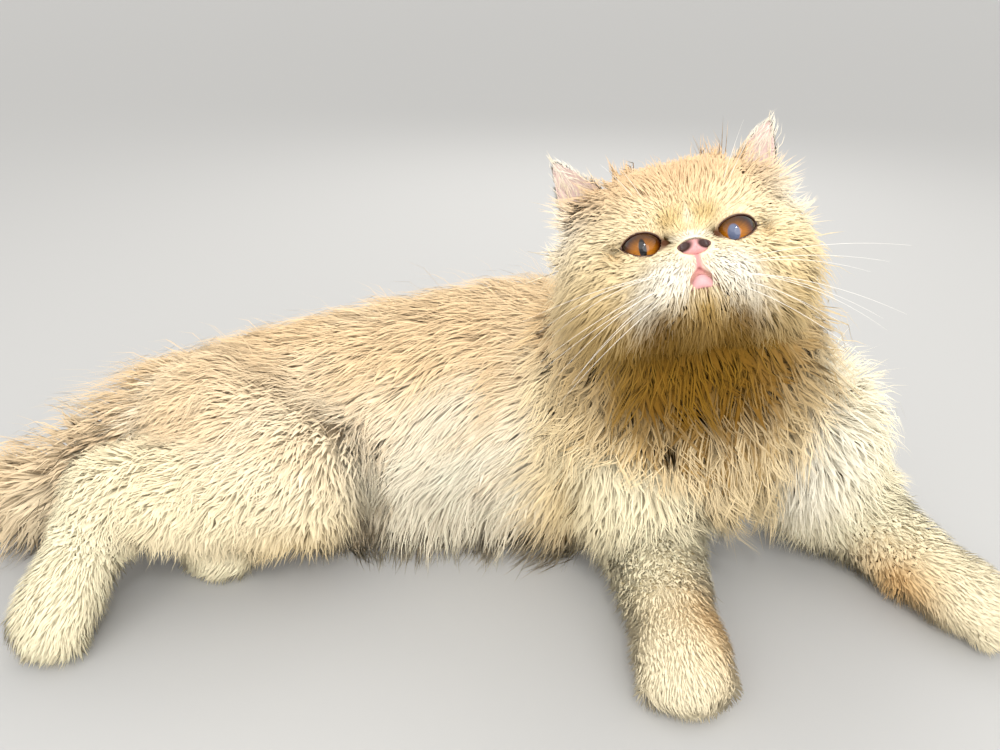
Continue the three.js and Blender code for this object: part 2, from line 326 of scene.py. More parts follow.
def lid_edge(side, count=72):
    """The edge of the lids round one eyeball, as points of the head's frame that lie on the ball.

    In the plane across the eye x = A cos a and z = h |sin a|^1.3, upper or lower, turned by the slant.
    """
    a = np.linspace(0, 2 * math.pi, count, endpoint=False)
    x = LID_HALF_WIDTH * np.cos(a)
    z = np.where(np.sin(a) > 0, LID_UPPER, -LID_LOWER) * np.abs(np.sin(a)) ** 1.3
    c, s = math.cos(LID_SLANT), math.sin(LID_SLANT)
    x, z = x * c - z * s, x * s + z * c
    y = -np.sqrt(np.maximum(EYE_RADIUS**2 - x**2 - z**2, (0.25 * EYE_RADIUS) ** 2))
    return np.stack([side * x, y, z], 1) + EYE_PLACE * (side, 1, 1)


def lid_measure(points, side):
    """How far each point of the head's frame lies outside the lid edge, in metres across; negative inside it."""
    centre = EYE_PLACE * (side, 1, 1)
    c, s = math.cos(LID_SLANT), math.sin(LID_SLANT)
    across, upward = (points[:, 0] - centre[0]) * side, points[:, 2] - centre[2]
    x, z = across * c + upward * s, -across * s + upward * c
    edge = np.where(z > 0, LID_UPPER, LID_LOWER) * np.maximum(1 - (x / LID_HALF_WIDTH) ** 2, 0) ** 0.65
    inside = (np.abs(x) < LID_HALF_WIDTH) & (np.abs(z) < edge)
    rim = lid_edge(side, 96)
    gap = np.sqrt(((points[:, None, ::2] - rim[None, :, ::2]) ** 2).sum(-1).min(1))
    return np.where(inside, -gap, gap)


def mouth_line(x):
    """The height of the mouth's slit in the head's frame: a low upturned V."""
    return -0.0202 - 0.90 * np.abs(x)


def face_radius(toward):
    """head_radius with the lids, the mouth's slit, the groove under the nose and the nose leather's seat."""
    radius = head_radius(toward)
    for side in (-1, 1):
        centre = EYE_PLACE * (side, 1, 1)
        b = toward @ centre
        room = b**2 - centre @ centre + EYE_RADIUS**2
        hits = (room > 0) & (toward[:, 1] < 0)
        ball = b + np.sqrt(np.maximum(room, 0))
        outside = lid_measure(toward * np.where(hits, ball, radius)[:, None], side)
        hug = np.exp(-(np.maximum(outside, 0) / 0.0035) ** 2) * hits * step(0, 0.4, room / EYE_RADIUS**2)
        radius = np.where(hits, mix(radius, ball + LID_THICKNESS, hug), radius)
        radius = np.where((outside < 0) & hits, ball - 0.003, radius)
    place = toward * radius[:, None]
    front = step(0.0, -0.02, place[:, 1])
    x, z = place[:, 0], place[:, 2]
    slit = np.exp(-((z - mouth_line(x)) / 0.0011) ** 2) * step(0.019, 0.014, np.abs(x))
    groove = np.exp(-((x / 0.0010) ** 2)) * step(-0.0225, -0.0205, z) * step(-0.009, -0.012, z)
    seat = step(1.02, 0.80, np.hypot(x / 0.0080, (z + 0.008) / 0.0046))
    return radius - front * (0.0026 * slit + 0.0012 * groove + 0.0034 * seat)


def new_object(name, points, faces, smooth=True):
    """A mesh object at the origin from an array of points and arrays of faces with equal corners each."""
    mesh = bpy.data.meshes.new(name)
    mesh.vertices.add(len(points))
    mesh.vertices.foreach_set("co", np.ascontiguousarray(points, np.float32).ravel())
    corners = np.concatenate([f.ravel() for f in faces]).astype(np.int32)
    sizes = np.concatenate([np.full(len(f), f.shape[1]) for f in faces])
    mesh.loops.add(len(corners))
    mesh.loops.foreach_set("vertex_index", corners)
    mesh.polygons.add(len(sizes))
    mesh.polygons.foreach_set("loop_start", (np.cumsum(sizes) - sizes).astype(np.int32))
    mesh.update(calc_edges=True)
    if smooth:
        mesh.shade_smooth()
    piece = bpy.data.objects.new(name, mesh)
    bpy.context.scene.collection.objects.link(piece)
    return piece


def grid_faces(rows, columns, offset=0, ring=False):
    """Four-cornered faces of a grid of points, rows by columns, with its last column joined to its first.

    A ring also has its last row joined to its first.
    """
    r = np.arange(rows if ring else rows - 1)[:, None]
    c = np.arange(columns)[None]
    r_next, c_next = (r + 1) % rows, (c + 1) % columns
    corners = [r * columns + c, r * columns + c_next, r_next * columns + c_next, r_next * columns + c]
    return np.stack(np.broadcast_arrays(*corners), -1).reshape(-1, 4) + offset


def welded(piece, reach_of=1e-6):
    """Merges a piece's coinciding points, drops faces without area and turns its faces outwards."""
    bm = bmesh.new()
    bm.from_mesh(piece.data)
    bmesh.ops.remove_doubles(bm, verts=bm.verts, dist=reach_of)
    bmesh.ops.dissolve_degenerate(bm, edges=bm.edges, dist=reach_of)
    bmesh.ops.recalc_face_normals(bm, faces=bm.faces)
    bm.to_mesh(piece.data)
    bm.free()
    piece.data.shade_smooth()
    return piece


def joined_grids(name, grids):
    """One welded object made of several grids of points."""
    faces, count = [], 0
    for grid in grids:
        faces.append(grid_faces(*grid.shape[:2], offset=count))
        count += grid.shape[0] * grid.shape[1]
    return welded(new_object(name, np.vstack([g.reshape(-1, 3) for g in grids]), [np.vstack(faces)]))


def paint(piece, name, colours):
    """Stores one colour for each point as an attribute that the materials read."""
    layer = piece.data.color_attributes.new(name, "FLOAT_COLOR", "POINT")
    full = np.ones((len(colours), 4), np.float32)
    full[:, :3] = colours
    layer.data.foreach_set("color", full.ravel())


def points_of(mesh):
    """A mesh's points as an array."""
    out = np.empty(len(mesh.vertices) * 3, np.float32)
    mesh.vertices.foreach_get("co", out)
    return out.reshape(-1, 3).astype(float)


def triangles_of(mesh):
    """A mesh's triangles as an array of point numbers."""
    mesh.calc_loop_triangles()
    out = np.empty(len(mesh.loop_triangles) * 3, np.int32)
    mesh.loop_triangles.foreach_get("vertices", out)
    return out.reshape(-1, 3)


def normals_of(mesh):
    """A mesh's point normals as an array."""
    out = np.empty(len(mesh.vertices) * 3, np.float32)
    mesh.vertex_normals.foreach_get("vector", out)
    return out.reshape(-1, 3).astype(float)


def averaged(values, edges, rounds, share=0.5):
    """Rounds of moving each point's value towards the mean of its neighbours' by share."""
    a, b = np.concatenate([edges[:, 0], edges[:, 1]]), np.concatenate([edges[:, 1], edges[:, 0]])
    degree = np.maximum(np.bincount(a, minlength=len(values)), 1)[:, None]
    for _ in range(rounds):
        mean = np.stack([np.bincount(a, values[b, i], len(values)) for i in range(values.shape[1])], 1) / degree
        values = values + share * (mean - values)
    return values


def edges_of(mesh):
    """A mesh's edges as an array of point numbers."""
    out = np.empty(len(mesh.edges) * 2, np.int32)
    mesh.edges.foreach_get("vertices", out)
    return out.reshape(-1, 2)


def face_corners(mesh):
    """A mesh's faces as arrays of point numbers, one array for each number of corners."""
    totals = np.empty(len(mesh.polygons), np.int32)
    mesh.polygons.foreach_get("loop_total", totals)
    corners = np.empty(len(mesh.loops), np.int32)
    mesh.loops.foreach_get("vertex_index", corners)
    starts = np.cumsum(totals) - totals
    return [corners[starts[totals == total][:, None] + np.arange(total)] for total in np.unique(totals)]


def material(name):
    """A new node material and its main shader."""
    made = bpy.data.materials.new(name)
    made.use_nodes = True
    return made, made.node_tree.nodes["Principled BSDF"]


def node(made, kind, **inputs):
    """A node of a material, with its sockets set by name."""
    new = made.node_tree.nodes.new(kind)
    for key, value in inputs.items():
        new.inputs[key].default_value = value
    return new


def link(made, source, target):
    """Joins two sockets of a material."""
    made.node_tree.links.new(source, target)


def ranged(made, source, before, after=(0.0, 1.0)):
    """The output of a node that carries the span of values before over to the span after."""
    new = node(made, "ShaderNodeMapRange", **{
        "From Min": before[0], "From Max": before[1], "To Min": after[0], "To Max": after[1]})
    link(made, source, new.inputs["Value"])
    return new.outputs["Result"]


def vector_node(made, operation, source):
    """A vector node of a material, with its first socket joined to a source."""
    new = node(made, "ShaderNodeVectorMath")
    new.operation = operation
    link(made, source, new.inputs[0])
    return new


EAR_WAY = (0.39, -0.06, 0.92)  # from the root to the tip of the left ear
EAR_LENGTH = 0.040


def ear_surface(side):
    """One ear as a grid of points: a leaf rolled into a cup, carried from its root to its tip.

    At height s the leaf is w(s) cos(a) across and bows back by d(s) sin(a)^2, and its two faces stand t sin(a)
    apart.
    """
    rows, around = 34, 48
    s = np.linspace(-0.12, 1, rows)[:, None]
    a = np.linspace(0, 2 * math.pi, around, endpoint=False)[None]
    root, tip_way = mm(side * 41.5, 7, 31), unit(np.array(EAR_WAY) * (side, 1, 1))
    wide = 0.0182 * np.clip(1 - s, 0, 1) ** 0.72 * (1 - 0.10 * np.clip(s, 0, 1))
    bow = 0.0095 * np.clip(1.02 - s, 0, 1.1) ** 0.9
    thick = 0.0011 * np.clip(1 - s, 0.0, 1) ** 0.3
    facing = turned(np.array((0, -1.0, 0)), np.array((0, 0, 1.0)), side * math.radians(18))
    across = unit(np.cross(facing, tip_way))
    back = np.cross(tip_way, across)
    back = back * np.sign(back[1])
    curl = -0.004 * np.clip(s, 0, 1) ** 2
    shape = (root + tip_way * (EAR_LENGTH * s)[..., None] + across * (wide * np.cos(a))[..., None]
             + back * (bow * np.sin(a) ** 2 * 0.9 - 0.004 + thick * np.sin(a) + curl)[..., None])
    return from_head(shape)


def toe_limbs(paw_name, toe=0.0105):
    """Four toes at the front of a paw, as short limbs that fan out from its end."""
    paw = LIMBS[paw_name]
    end, way, side = paw.line[-1], paw.tangent[-1], paw.side[-1]
    wide = paw.half[-1, 0]
    toes = []
    for share, forward in ((-0.78, -0.003), (-0.28, 0.002), (0.28, 0.002), (0.78, -0.003)):
        tip = end + side * wide * share + way * (wide * 0.22 + forward)
        root = end + side * wide * share * 0.7 - way * 0.012
        root[2], tip[2] = max(root[2] - 0.003, toe + 0.003), toe + 0.0035
        toes.append(Limb([root, mix(root, tip, 0.5), tip], [(toe * 920, toe * 900)] * 3, dome=0.8, rows=6))
    return toes


PAWS = ("fore_right_paw", "fore_left_paw", "hind_foot", "foot_under")


def head_grid(rows=72, around=96):
    """The head's skin as a grid: head_radius in directions by polar angle from the face and turn about it."""
    polar = np.linspace(0, math.pi, rows)[:, None]
    turn = np.linspace(0, 2 * math.pi, around, endpoint=False)[None]
    toward = np.stack(np.broadcast_arrays(
        np.sin(polar) * np.cos(turn), -np.cos(polar), np.sin(polar) * np.sin(turn)), -1).reshape(-1, 3)
    return from_head(toward * head_radius(toward)[:, None]).reshape(rows, around, 3)


def raw_body():
    """All lengths of the body and the head as one object of closed shells that pass through each other."""
    grids = [limb.surface() for limb in LIMBS.values()] + [head_grid()]
    grids += [toe.surface(around=16, dome_rows=4) for paw in PAWS for toe in toe_limbs(paw)]
    return joined_grids("raw_body", grids)


def remeshed(piece, voxel):
    """The outside of a piece's shells as one closed mesh of even faces, in place of the piece."""
    modifier = piece.modifiers.new("even", "REMESH")
    modifier.mode = "VOXEL"
    modifier.voxel_size = voxel
    graph = bpy.context.evaluated_depsgraph_get()
    mesh = bpy.data.meshes.new_from_object(piece.evaluated_get(graph))
    old = piece.data
    piece.modifiers.clear()
    piece.data = mesh
    bpy.data.meshes.remove(old)
    return piece


def refine_face(mesh, cuts):
    """Splits the faces of the front of the head into smaller ones."""
    bm = bmesh.new()
    bm.from_mesh(mesh)
    place = to_head(np.array([f.calc_center_median() for f in bm.faces]))
    toward = unit(place)
    bm.faces.ensure_lookup_table()
    near = (toward[:, 1] < -0.60) & (np.linalg.norm(place, axis=1) < 0.08)
    edges = {e for i in np.flatnonzero(near) for e in bm.faces[i].edges}
    bmesh.ops.subdivide_edges(bm, edges=list(edges), cuts=cuts, use_grid_fill=True)
    bm.to_mesh(mesh)
    bm.free()


def shaped_face(points):
    """Points of the front of the head moved along their own direction onto face_radius."""
    place = to_head(points)
    toward, far = unit(place), np.linalg.norm(place, axis=1)
    front = (toward[:, 1] < -0.5) & (far < 0.085)
    share = step(-0.52, -0.64, toward[front, 1])
    radius = mix(far[front], face_radius(toward[front]), share)
    points = points.copy()
    points[front] = from_head(toward[front] * radius[:, None])
    return points


def body_reading(points):
    """For each part of the body and the head: how far points lie outside it, its nearest row and their turn."""
    readings = {name: limb.reading(points) for name, limb in LIMBS.items()}
    place = to_head(points)
    toward = unit(place)
    outside = np.linalg.norm(place, axis=1) - head_radius(toward)
    readings["head"] = (np.zeros(len(points), int), outside, np.arctan2(place[:, 2], place[:, 0]) / 6.2832 % 1)
    return readings


def shares(readings, softness=0.006):
    """How much each part of the body counts at each point: exp(-outside/softness), scaled to a sum of one."""
    raw = {name: np.exp(-np.clip(r[1], -0.004, 0.08) / softness) for name, r in readings.items()}
    total = sum(raw.values())
    return {name: value / total for name, value in raw.items()}


def ripple(points, size, seed):
    """Smooth noise from -1 to 1 with features of about size: sines along tilted directions, added up."""
    rng = np.random.default_rng(seed)
    total = np.zeros(len(points))
    for k in range(6):
        way = unit(rng.normal(size=3)) * 2 * math.pi / (size * rng.uniform(0.7, 1.8))
        total += np.sin(points @ way + rng.uniform(0, 6.28) + 1.7 * np.sin(points @ way[::-1] * 0.6 + k))
    return np.clip(total / 3.2, -1, 1)


def spot(place, centre, size):
    """1 at a centre, given in millimetres of the head's frame, fading as exp(-d^2) with sizes along x, y, z."""
    return np.exp(-(((place - mm(*centre)) / mm(*size)) ** 2).sum(1))


def both_sides(place, centre, size):
    """spot at a centre and at its mirror image on the other side of the head, added up."""
    x, y, z = centre
    return sum(spot(place, (side * x, y, z), size) for side in (-1, 1))


def glow(points, centre, size):
    """1 at a centre, given in millimetres of the pose, fading as exp(-d^2) with sizes along X, Y, Z."""
    return np.exp(-(((points - at(*centre)) / mm(*size)) ** 2).sum(1))


def coat_colour(points, normals, share, looks):
    """The coat's colour at places of the skin. Skin and locks both use it and so carry the same markings."""
    cream, apricot, white, snow = (np.array(looks[key]) for key in ("cream", "apricot", "white", "snow"))
    stain, rust, tan = (np.array(looks[key]) for key in ("stain", "rust", "tan"))
    place = to_head(points)
    x, y, z = place.T
    legs = sum(share[n] for n in share if n.startswith(("fore", "hind_foot", "foot_under")))
    trunk = share["trunk"] + 0.8 * share["thigh"] + 0.6 * share["tail"]
    colour = np.repeat(cream[None], len(points), 0)
    colour = mix(colour, np.array(looks["pale"]), share["trunk"] + share["thigh"])
    colour = mix(colour, white, 0.85 * legs + 0.35 * share["shank"])
    ridge = step(0.15, 0.95, normals[:, 2] + 0.22 * ripple(points, 0.06, 3)) * trunk
    colour = mix(colour, apricot, 0.80 * ridge)
    colour = mix(colour, apricot, 0.30 * trunk * step(0.1, 0.9, ripple(points, 0.045, 5)))
    colour = mix(colour, colour * (0.84, 0.84, 0.90), share["tail"])
    below = step(0.075, 0.02, points[:, 2]) * trunk
    colour = mix(colour, tan, 0.10 * below)
    groin = glow(points, (-112, -40, 40), (30, 40, 30))
    colour = mix(colour, tan, 0.6 * groin * (1 - legs))
    # painted shadow: tan in the crease of the armpit
    armpit_shadow = glow(points, (70, -30, 70), (16, 40, 50))
    colour = mix(colour, tan, 0.6 * armpit_shadow)
    # chest and throat
    chest, throat = chest_and_throat(points, normals, share)
    left_shoulder = glow(points, (205, -30, 110), (34, 60, 60))
    colour = mix(colour, snow, 0.8 * left_shoulder)
    colour = mix(colour, tan, 0.85 * chest * (0.75 + 0.25 * ripple(points, 0.02, 7)))
    # painted shadow: the low chest between the forelegs, under the chest's overhang, is painted darker
    low_chest_shadow = glow(points, (170, -76, 104), (44, 50, 28)) * (1 - 0.6 * legs)
    colour = mix(colour, tan * (0.58, 0.66, 0.86), 0.80 * low_chest_shadow)
    colour = mix(colour, stain, np.clip(1.7 * throat, 0, 1))
    nape = share["neck"] * step(-0.1, 0.5, normals[:, 1])
    colour = mix(colour, apricot, 0.9 * nape)
    # head
    head = share["head"]
    crown = head * step(0.004, 0.030, z) * step(0.050, 0.0, np.abs(x) - 0.02)
    colour = mix(colour, apricot * (0.90, 0.89, 0.95), crown * 0.95)
    colour = mix(colour, apricot, head * step(0.0, 0.03, y) * 0.9)
    for side in (-1, 1):
        for hue, strength, (out, back, up), size in (
            (tan, 0.45, (40, -20, -26), (18, 30, 22)),  # cheek
            (snow, 0.97, (12, -44, -20), (11, 22, 9)),  # whisker pad
            (snow, 0.40, (21, -38, -28), (8, 20, 5)),  # below the pad's outer end
            (stain, 0.95, (14, -40, -36), (9, 20, 7)),  # beside the chin
            (rust, 0.30, (35, -34, -4), (4, 20, 3)),  # outer corner of the eye
            (mix(tan, stain, 0.45), 0.65, (9.5, -44, 7), (5.5, 16, 5)),  # tear stain
            (snow, 0.9, (48, -6, 24), (14, 18, 13)),  # tuft before the ear
            (snow, 0.85, (54, 0, 58), (16, 18, 20)),  # ear
            # painted shade: darker tan in the fold of the ear
            (mix(tan, stain, 0.3), 0.35, (55, 0, 46), (4, 20, 8)),  # fold of the ear
        ):
            colour = mix(colour, hue, strength * spot(place, (side * out, back, up), size))
    for hue, strength, centre, size in (
        (mix(tan, stain, 0.15), 0.6, (0, -46, 7), (10, 16, 9)),  # between the eyes
        (snow, 0.75, (0, -48, 8), (2.6, 12, 5)),  # blaze
        (snow, 0.85, (0, -48, -2.8), (8.5, 12, 1.6)),  # arch over the nose
    ):
        colour = mix(colour, hue, strength * spot(place, centre, size))
    for side in (-1, 1):
        # tear stain at each eye's inner corner, darkened to near black as painted shade in the hollow there
        corner_stain_and_shade = spot(place, (side * 11.8, -43, -2.0), (4.0, 14, 2.9))
        colour = mix(colour, stain * 0.22, np.clip(1.3 * corner_stain_and_shade, 0, 1))
    colour = mix(colour, mix(tan, stain, 0.35), 0.85 * spot(place, (0, -44, -31), (8, 20, 5)))
    # olive stain of the chin and beard; where the mask reaches under the cheeks it is also painted shade
    beard = step(0.001, -0.007, z + 0.028 + 0.42 * np.abs(x))
    beard = beard * step(0.052, 0.026, np.abs(x)) * step(0.01, -0.01, y)
    olive_stain_and_shade = mix(tan, stain, 0.86)
    colour = mix(colour, olive_stain_and_shade, 0.95 * head * beard * (0.85 + 0.15 * ripple(points, 0.012, 8)))
    # paws, and stains on the forelegs
    paws = sum(share[n] for n in share if n.endswith("paw"))
    colour = mix(colour, colour * (0.90, 0.89, 0.90), paws)
    for centre in ((268, -72, 20), (143, -112, 24)):
        colour = mix(colour, rust, 0.8 * glow(points, centre, (26, 26, 22)))
    return np.clip(colour, 0, 1)


def chest_and_throat(points, normals, share):
    """How far each point belongs to the front of the chest and to the stained throat above it, 0 to 1."""
    chest = share["neck"] * step(0.3, -0.35, normals[:, 1])
    across = (points - at(130, -80, 130))[:, 0]
    chest = chest * np.exp(-((across / 0.044) ** 2)) * step(0.075, 0.125, points[:, 2])
    return chest, glow(points, (124, -88, 196), (54, 50, 31))


def lock_ends(colour, points, normals, share, looks):
    """The colours of the locks' roots and tips: the chest and throat are darker at the roots, as painted shade in
    the gaps between the locks, and the chest is paler at the tips.
    """
    chest, throat = chest_and_throat(points, normals, share)
    chest = np.clip(chest - 0.8 * throat, 0, 1)
    # painted shade: the roots on the chest and throat are painted darker
    roots = mix(colour, colour * (0.60, 0.48, 0.32), np.maximum(chest, 0.6 * throat))
    tips = mix(colour, mix(np.array(looks["tan"]), np.array(looks["snow"]), 0.45), 0.8 * chest)
    return roots, tips


def bare_colour(points, colour, looks):
    """The skin where the hair is too short to hide it: pink groove and lips, and the dark edges of the lids."""
    pink = np.array(looks["pink"])
    place = to_head(points)
    x, y, z = place.T
    front = step(-0.01, -0.03, y)
    groove = np.exp(-((x / 0.0021) ** 2)) * step(-0.0235, -0.021, z) * step(-0.008, -0.011, z) * front
    lips = np.exp(-(((z - mouth_line(x)) / 0.0014) ** 2)) * step(0.012, 0.007, np.abs(x)) * front
    colour = mix(colour, pink, np.clip(groove + lips, 0, 1))
    under = spot(place, (0, -46, -26.5), (7.5, 14, 5.5))
    colour = mix(colour, mix(pink * 0.85, np.array(looks["tan"]), 0.2), np.clip(1.3 * under, 0, 1))
    for side in (-1, 1):
        near = lid_measure(place, side)
        edge = np.exp(-((np.clip(near, 0, 1) / 0.0014) ** 2)) * front
        colour = mix(colour, np.array(looks["lid"]), 0.75 * edge)
    return colour


def looks_of(context):
    """The colours of coat and skin, by name."""
    coat, face = context.scene.cat_coat, context.scene.cat_face
    names = ("cream", "pale", "apricot", "white", "snow", "stain", "rust", "tan")
    made = {name: tuple(getattr(coat, name)) for name in names}
    made.update({name: tuple(getattr(face, name)) for name in ("pink", "lid")})
    return made


def hair_material(name, roughness=0.62):
    """Coat: the Coat attribute, with fine paler and darker streaks in Object coordinates."""
    made, shader = material(name)
    shader.inputs["Roughness"].default_value = roughness
    shader.inputs["Specular IOR Level"].default_value = 0.06
    shader.inputs["Sheen Weight"].default_value = 0.14
    shader.inputs["Sheen Roughness"].default_value = 0.45
    shader.inputs["Sheen Tint"].default_value = (1.0, 0.86, 0.62, 1)
    colour = node(made, "ShaderNodeAttribute")
    colour.attribute_name = "Coat"
    place = node(made, "ShaderNodeTexCoord")
    streaks = node(made, "ShaderNodeTexNoise", Scale=900.0, Detail=2.0, Roughness=0.6)
    link(made, place.outputs["Object"], streaks.inputs["Vector"])
    scale = vector_node(made, "SCALE", colour.outputs["Color"])
    link(made, ranged(made, streaks.outputs["Fac"], (0.3, 0.7), (0.93, 1.05)), scale.inputs["Scale"])
    link(made, scale.outputs["Vector"], shader.inputs["Base Color"])
    return made


def skin_material():
    """Skin: the Coat attribute with a fine short nap as bump."""
    made = hair_material("short_nap", roughness=0.7)
    shader = made.node_tree.nodes["Principled BSDF"]
    place = node(made, "ShaderNodeTexCoord")
    nap = node(made, "ShaderNodeTexNoise", Scale=1400.0, Detail=3.0, Roughness=0.7)
    link(made, place.outputs["Object"], nap.inputs["Vector"])
    bump = node(made, "ShaderNodeBump", Strength=0.5, Distance=0.0006)
    link(made, nap.outputs["Fac"], bump.inputs["Height"])
    link(made, bump.outputs["Normal"], shader.inputs["Normal"])
    return made


class SkinSettings(bpy.types.PropertyGroup):
    """The skin under the coat."""

    face_size: FloatProperty(
        name="Face size", description="Width of the skin's faces over the body", default=0.0027,
        min=0.0015, max=0.006, unit="LENGTH")
    rounds: IntProperty(
        name="Smoothing", description="Rounds of smoothing where the lengths of the body meet", default=10,
        min=0, max=60)


class CoatSettings(bpy.types.PropertyGroup):
    """Sizes and colours of the coat."""

    fullness: FloatProperty(
        name="Fullness", description="Locks per area, as a share of the full coat", default=1.0,
        min=0.02, max=1.5, subtype="FACTOR")
    length: FloatProperty(
        name="Length", description="Length of every lock, as a share of the full coat", default=1.0,
        min=0.3, max=1.5, subtype="FACTOR")
    cream: FloatVectorProperty(
        name="Cream", description="Cheeks, rump and shanks", default=tint(251, 231, 190), size=3, min=0, max=1,
        subtype="COLOR")
    apricot: FloatVectorProperty(
        name="Apricot", description="Back, nape and forehead", default=tint(238, 201, 150), size=3, min=0,
        max=1, subtype="COLOR")
    pale: FloatVectorProperty(
        name="Pale cream", description="Flanks and thighs", default=tint(254, 243, 218), size=3, min=0, max=1,
        subtype="COLOR")
    white: FloatVectorProperty(
        name="White", description="Legs and paws", default=tint(254, 243, 208), size=3, min=0, max=1,
        subtype="COLOR")
    snow: FloatVectorProperty(
        name="Snow", description="Muzzle, ear tufts and left shoulder", default=tint(243, 238, 224), size=3,
        min=0, max=1, subtype="COLOR")
    stain: FloatVectorProperty(
        name="Stain", description="Brown stain of chin and throat", default=tint(120, 86, 14), size=3, min=0,
        max=1, subtype="COLOR")
    rust: FloatVectorProperty(
        name="Rust", description="Yellow-brown stain of the forelegs", default=tint(236, 176, 88), size=3, min=0,
        max=1, subtype="COLOR")
    tan: FloatVectorProperty(
        name="Tan", description="Locks of the chest", default=tint(222, 186, 110), size=3, min=0, max=1,
        subtype="COLOR")


class FaceSettings(bpy.types.PropertyGroup):
    """Colours of the eyes, nose and lips."""

    pink: FloatVectorProperty(
        name="Pink", description="Nose leather and lips", default=tint(216, 156, 156), size=3, min=0, max=1,
        subtype="COLOR")
    lid: FloatVectorProperty(
        name="Lid", description="Edges of the eyelids", default=tint(96, 58, 42), size=3, min=0, max=1,
        subtype="COLOR")
    iris: FloatVectorProperty(
        name="Iris", description="Lower part of the iris", default=tint(152, 92, 14), size=3, min=0, max=1,
        subtype="COLOR")
    iris_rim: FloatVectorProperty(
        name="Iris rim", description="Outer part of the iris", default=tint(70, 26, 8), size=3, min=0, max=1,
        subtype="COLOR")
    whisker_length: FloatProperty(
        name="Whisker length", description="Length of the longest whisker", default=0.085, min=0.02, max=0.12,
        unit="LENGTH")


class StageSettings(bpy.types.PropertyGroup):
    """Floor, light and camera."""

    floor: FloatVectorProperty(
        name="Floor", description="Colour of the floor", default=(0.46, 0.46, 0.455), size=3, min=0, max=1,
        subtype="COLOR")
    key: FloatProperty(name="Key light", description="Power of the main soft light", default=7.5, min=0,
                       unit="POWER")
    fill: FloatProperty(name="Fill light", description="Power of the light near the camera", default=7.5, min=0,
                        unit="POWER")
    rim: FloatProperty(name="Rim light", description="Power of the light from behind", default=7.0, min=0,
                       unit="POWER")
    sky: FloatProperty(name="Room light", description="Strength of the even light all round", default=1.15,
                       min=0)


class CAT_OT_skin(bpy.types.Operator):
    """Make the one skin that stands for all the flesh"""

    bl_idname = "cat.skin"
    bl_label = "Skin"

    def execute(self, context):
        settings, looks = context.scene.cat_skin, looks_of(context)
        skin = remeshed(raw_body(), settings.face_size)
        skin.name = skin.data.name = "skin"
        mesh = skin.data
        smooth = averaged(points_of(mesh), edges_of(mesh), settings.rounds)
        mesh.vertices.foreach_set("co", smooth.astype(np.float32).ravel())
        refine_face(mesh, cuts=3)
        shaped, faces = shaped_face(points_of(mesh)), face_corners(mesh)
        body_count = len(shaped)
        bpy.data.objects.remove(skin)
        skin = new_object("skin", shaped, faces)
        ear_piece = joined_grids("ear_shells", [ear_surface(side) for side in (-1, 1)])
        bm = bmesh.new()
        bm.from_mesh(skin.data)
        bm.from_mesh(ear_piece.data)
        bm.to_mesh(skin.data)
        bm.free()
        bpy.data.objects.remove(ear_piece)
        mesh = skin.data
        mesh.shade_smooth()
        places, normals = points_of(mesh), normals_of(mesh)
        share = shares(body_reading(places))
        colour = coat_colour(places, normals, share, looks)
        colour = bare_colour(places, colour, looks)
        ear_bits = np.arange(len(places)) >= body_count
        inner = ear_bits & (dot(normals, FACE[None])[:, 0] > 0.1)
        colour = np.where(inner[:, None], mix(np.array(looks["pink"]), looks["snow"], 0.50), colour)
        # the skin is painted 3% darker than the coat, as painted shade under the locks
        paint(skin, "Coat", colour * 0.97)
        ear_layer = mesh.attributes.new("ear", "FLOAT", "POINT")
        ear_layer.data.foreach_set("value", ear_bits.astype(np.float32))
        skin.data.materials.append(skin_material())
        flesh = [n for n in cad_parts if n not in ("nose", "eye_right", "eye_left")]
        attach(skin, "root")
        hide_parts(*flesh)
        return {"FINISHED"}


NOSE_ROOT = mm(0, -50, -6)  # the coat of the head runs away from here, in the head's frame


def lie_of_coat(points, normals, share, readings, edges):
    """The way the hair runs along the skin, as unit vectors that lie in it.

    Each part has its own way: from head to tail on the trunk, down the neck and along the legs and tail, and
    away from the nose and round the eyes on the head. The ways are added up by their shares and evened over
    the skin.
    """
    down = -UP[None]
    way = np.zeros_like(points)
    for name, limb in LIMBS.items():
        tangent = limb.tangent[readings[name][0]]
        if name == "trunk":
            front = step(0.70, 0.95, readings[name][0] / len(limb.line))[:, None]
            lie = -tangent + down * (0.50 + 0.9 * front)
        elif name == "neck":
            lie = -tangent + 0.15 * unit(normals * (1, 1, 0))
        elif name == "thigh":
            lie = np.broadcast_to(np.array((-0.85, -0.1, -0.75)), tangent.shape)
        elif name == "shank":
            lie = tangent + 0.7 * down
        elif name == "tail":
            lie = tangent + 0.25 * down
        else:
            lie = tangent
        way += share[name][:, None] * unit(lie)
    place = to_head(points)
    lie = unit(place - NOSE_ROOT)
    for side in (-1, 1):
        from_eye = (place - EYE_PLACE * (side, 1, 1)) * (1, 0.3, 1)
        near = np.exp(-((np.linalg.norm(from_eye, axis=1) / 0.015) ** 2))[:, None]
        lie = lie + 0.8 * near * unit(from_eye)
    for strength, centre, size, back, up in (
        (1.6, (52, -6, 14), (12, 18, 14), -0.1, -0.35),  # below the ears
        (2.2, (38, -11, 28), (11, 18, 9), -0.2, -0.25),  # before the ears
    ):
        near = both_sides(place, centre, size)[:, None]
        outward = np.stack(np.broadcast_arrays(np.sign(place[:, 0]), back, up), 1)
        lie = lie + strength * near * outward
    drop = down * 0.60 * step(0.02, 0.06, np.abs(place[:, :1])) * step(0.02, -0.02, place[:, 2:])
    way += share["head"][:, None] * unit(lie @ HEAD_AXES + drop)
    way = way - normals * dot(way, normals)
    way = averaged(way, edges, 40)
    return unit(way - normals * dot(way, normals))


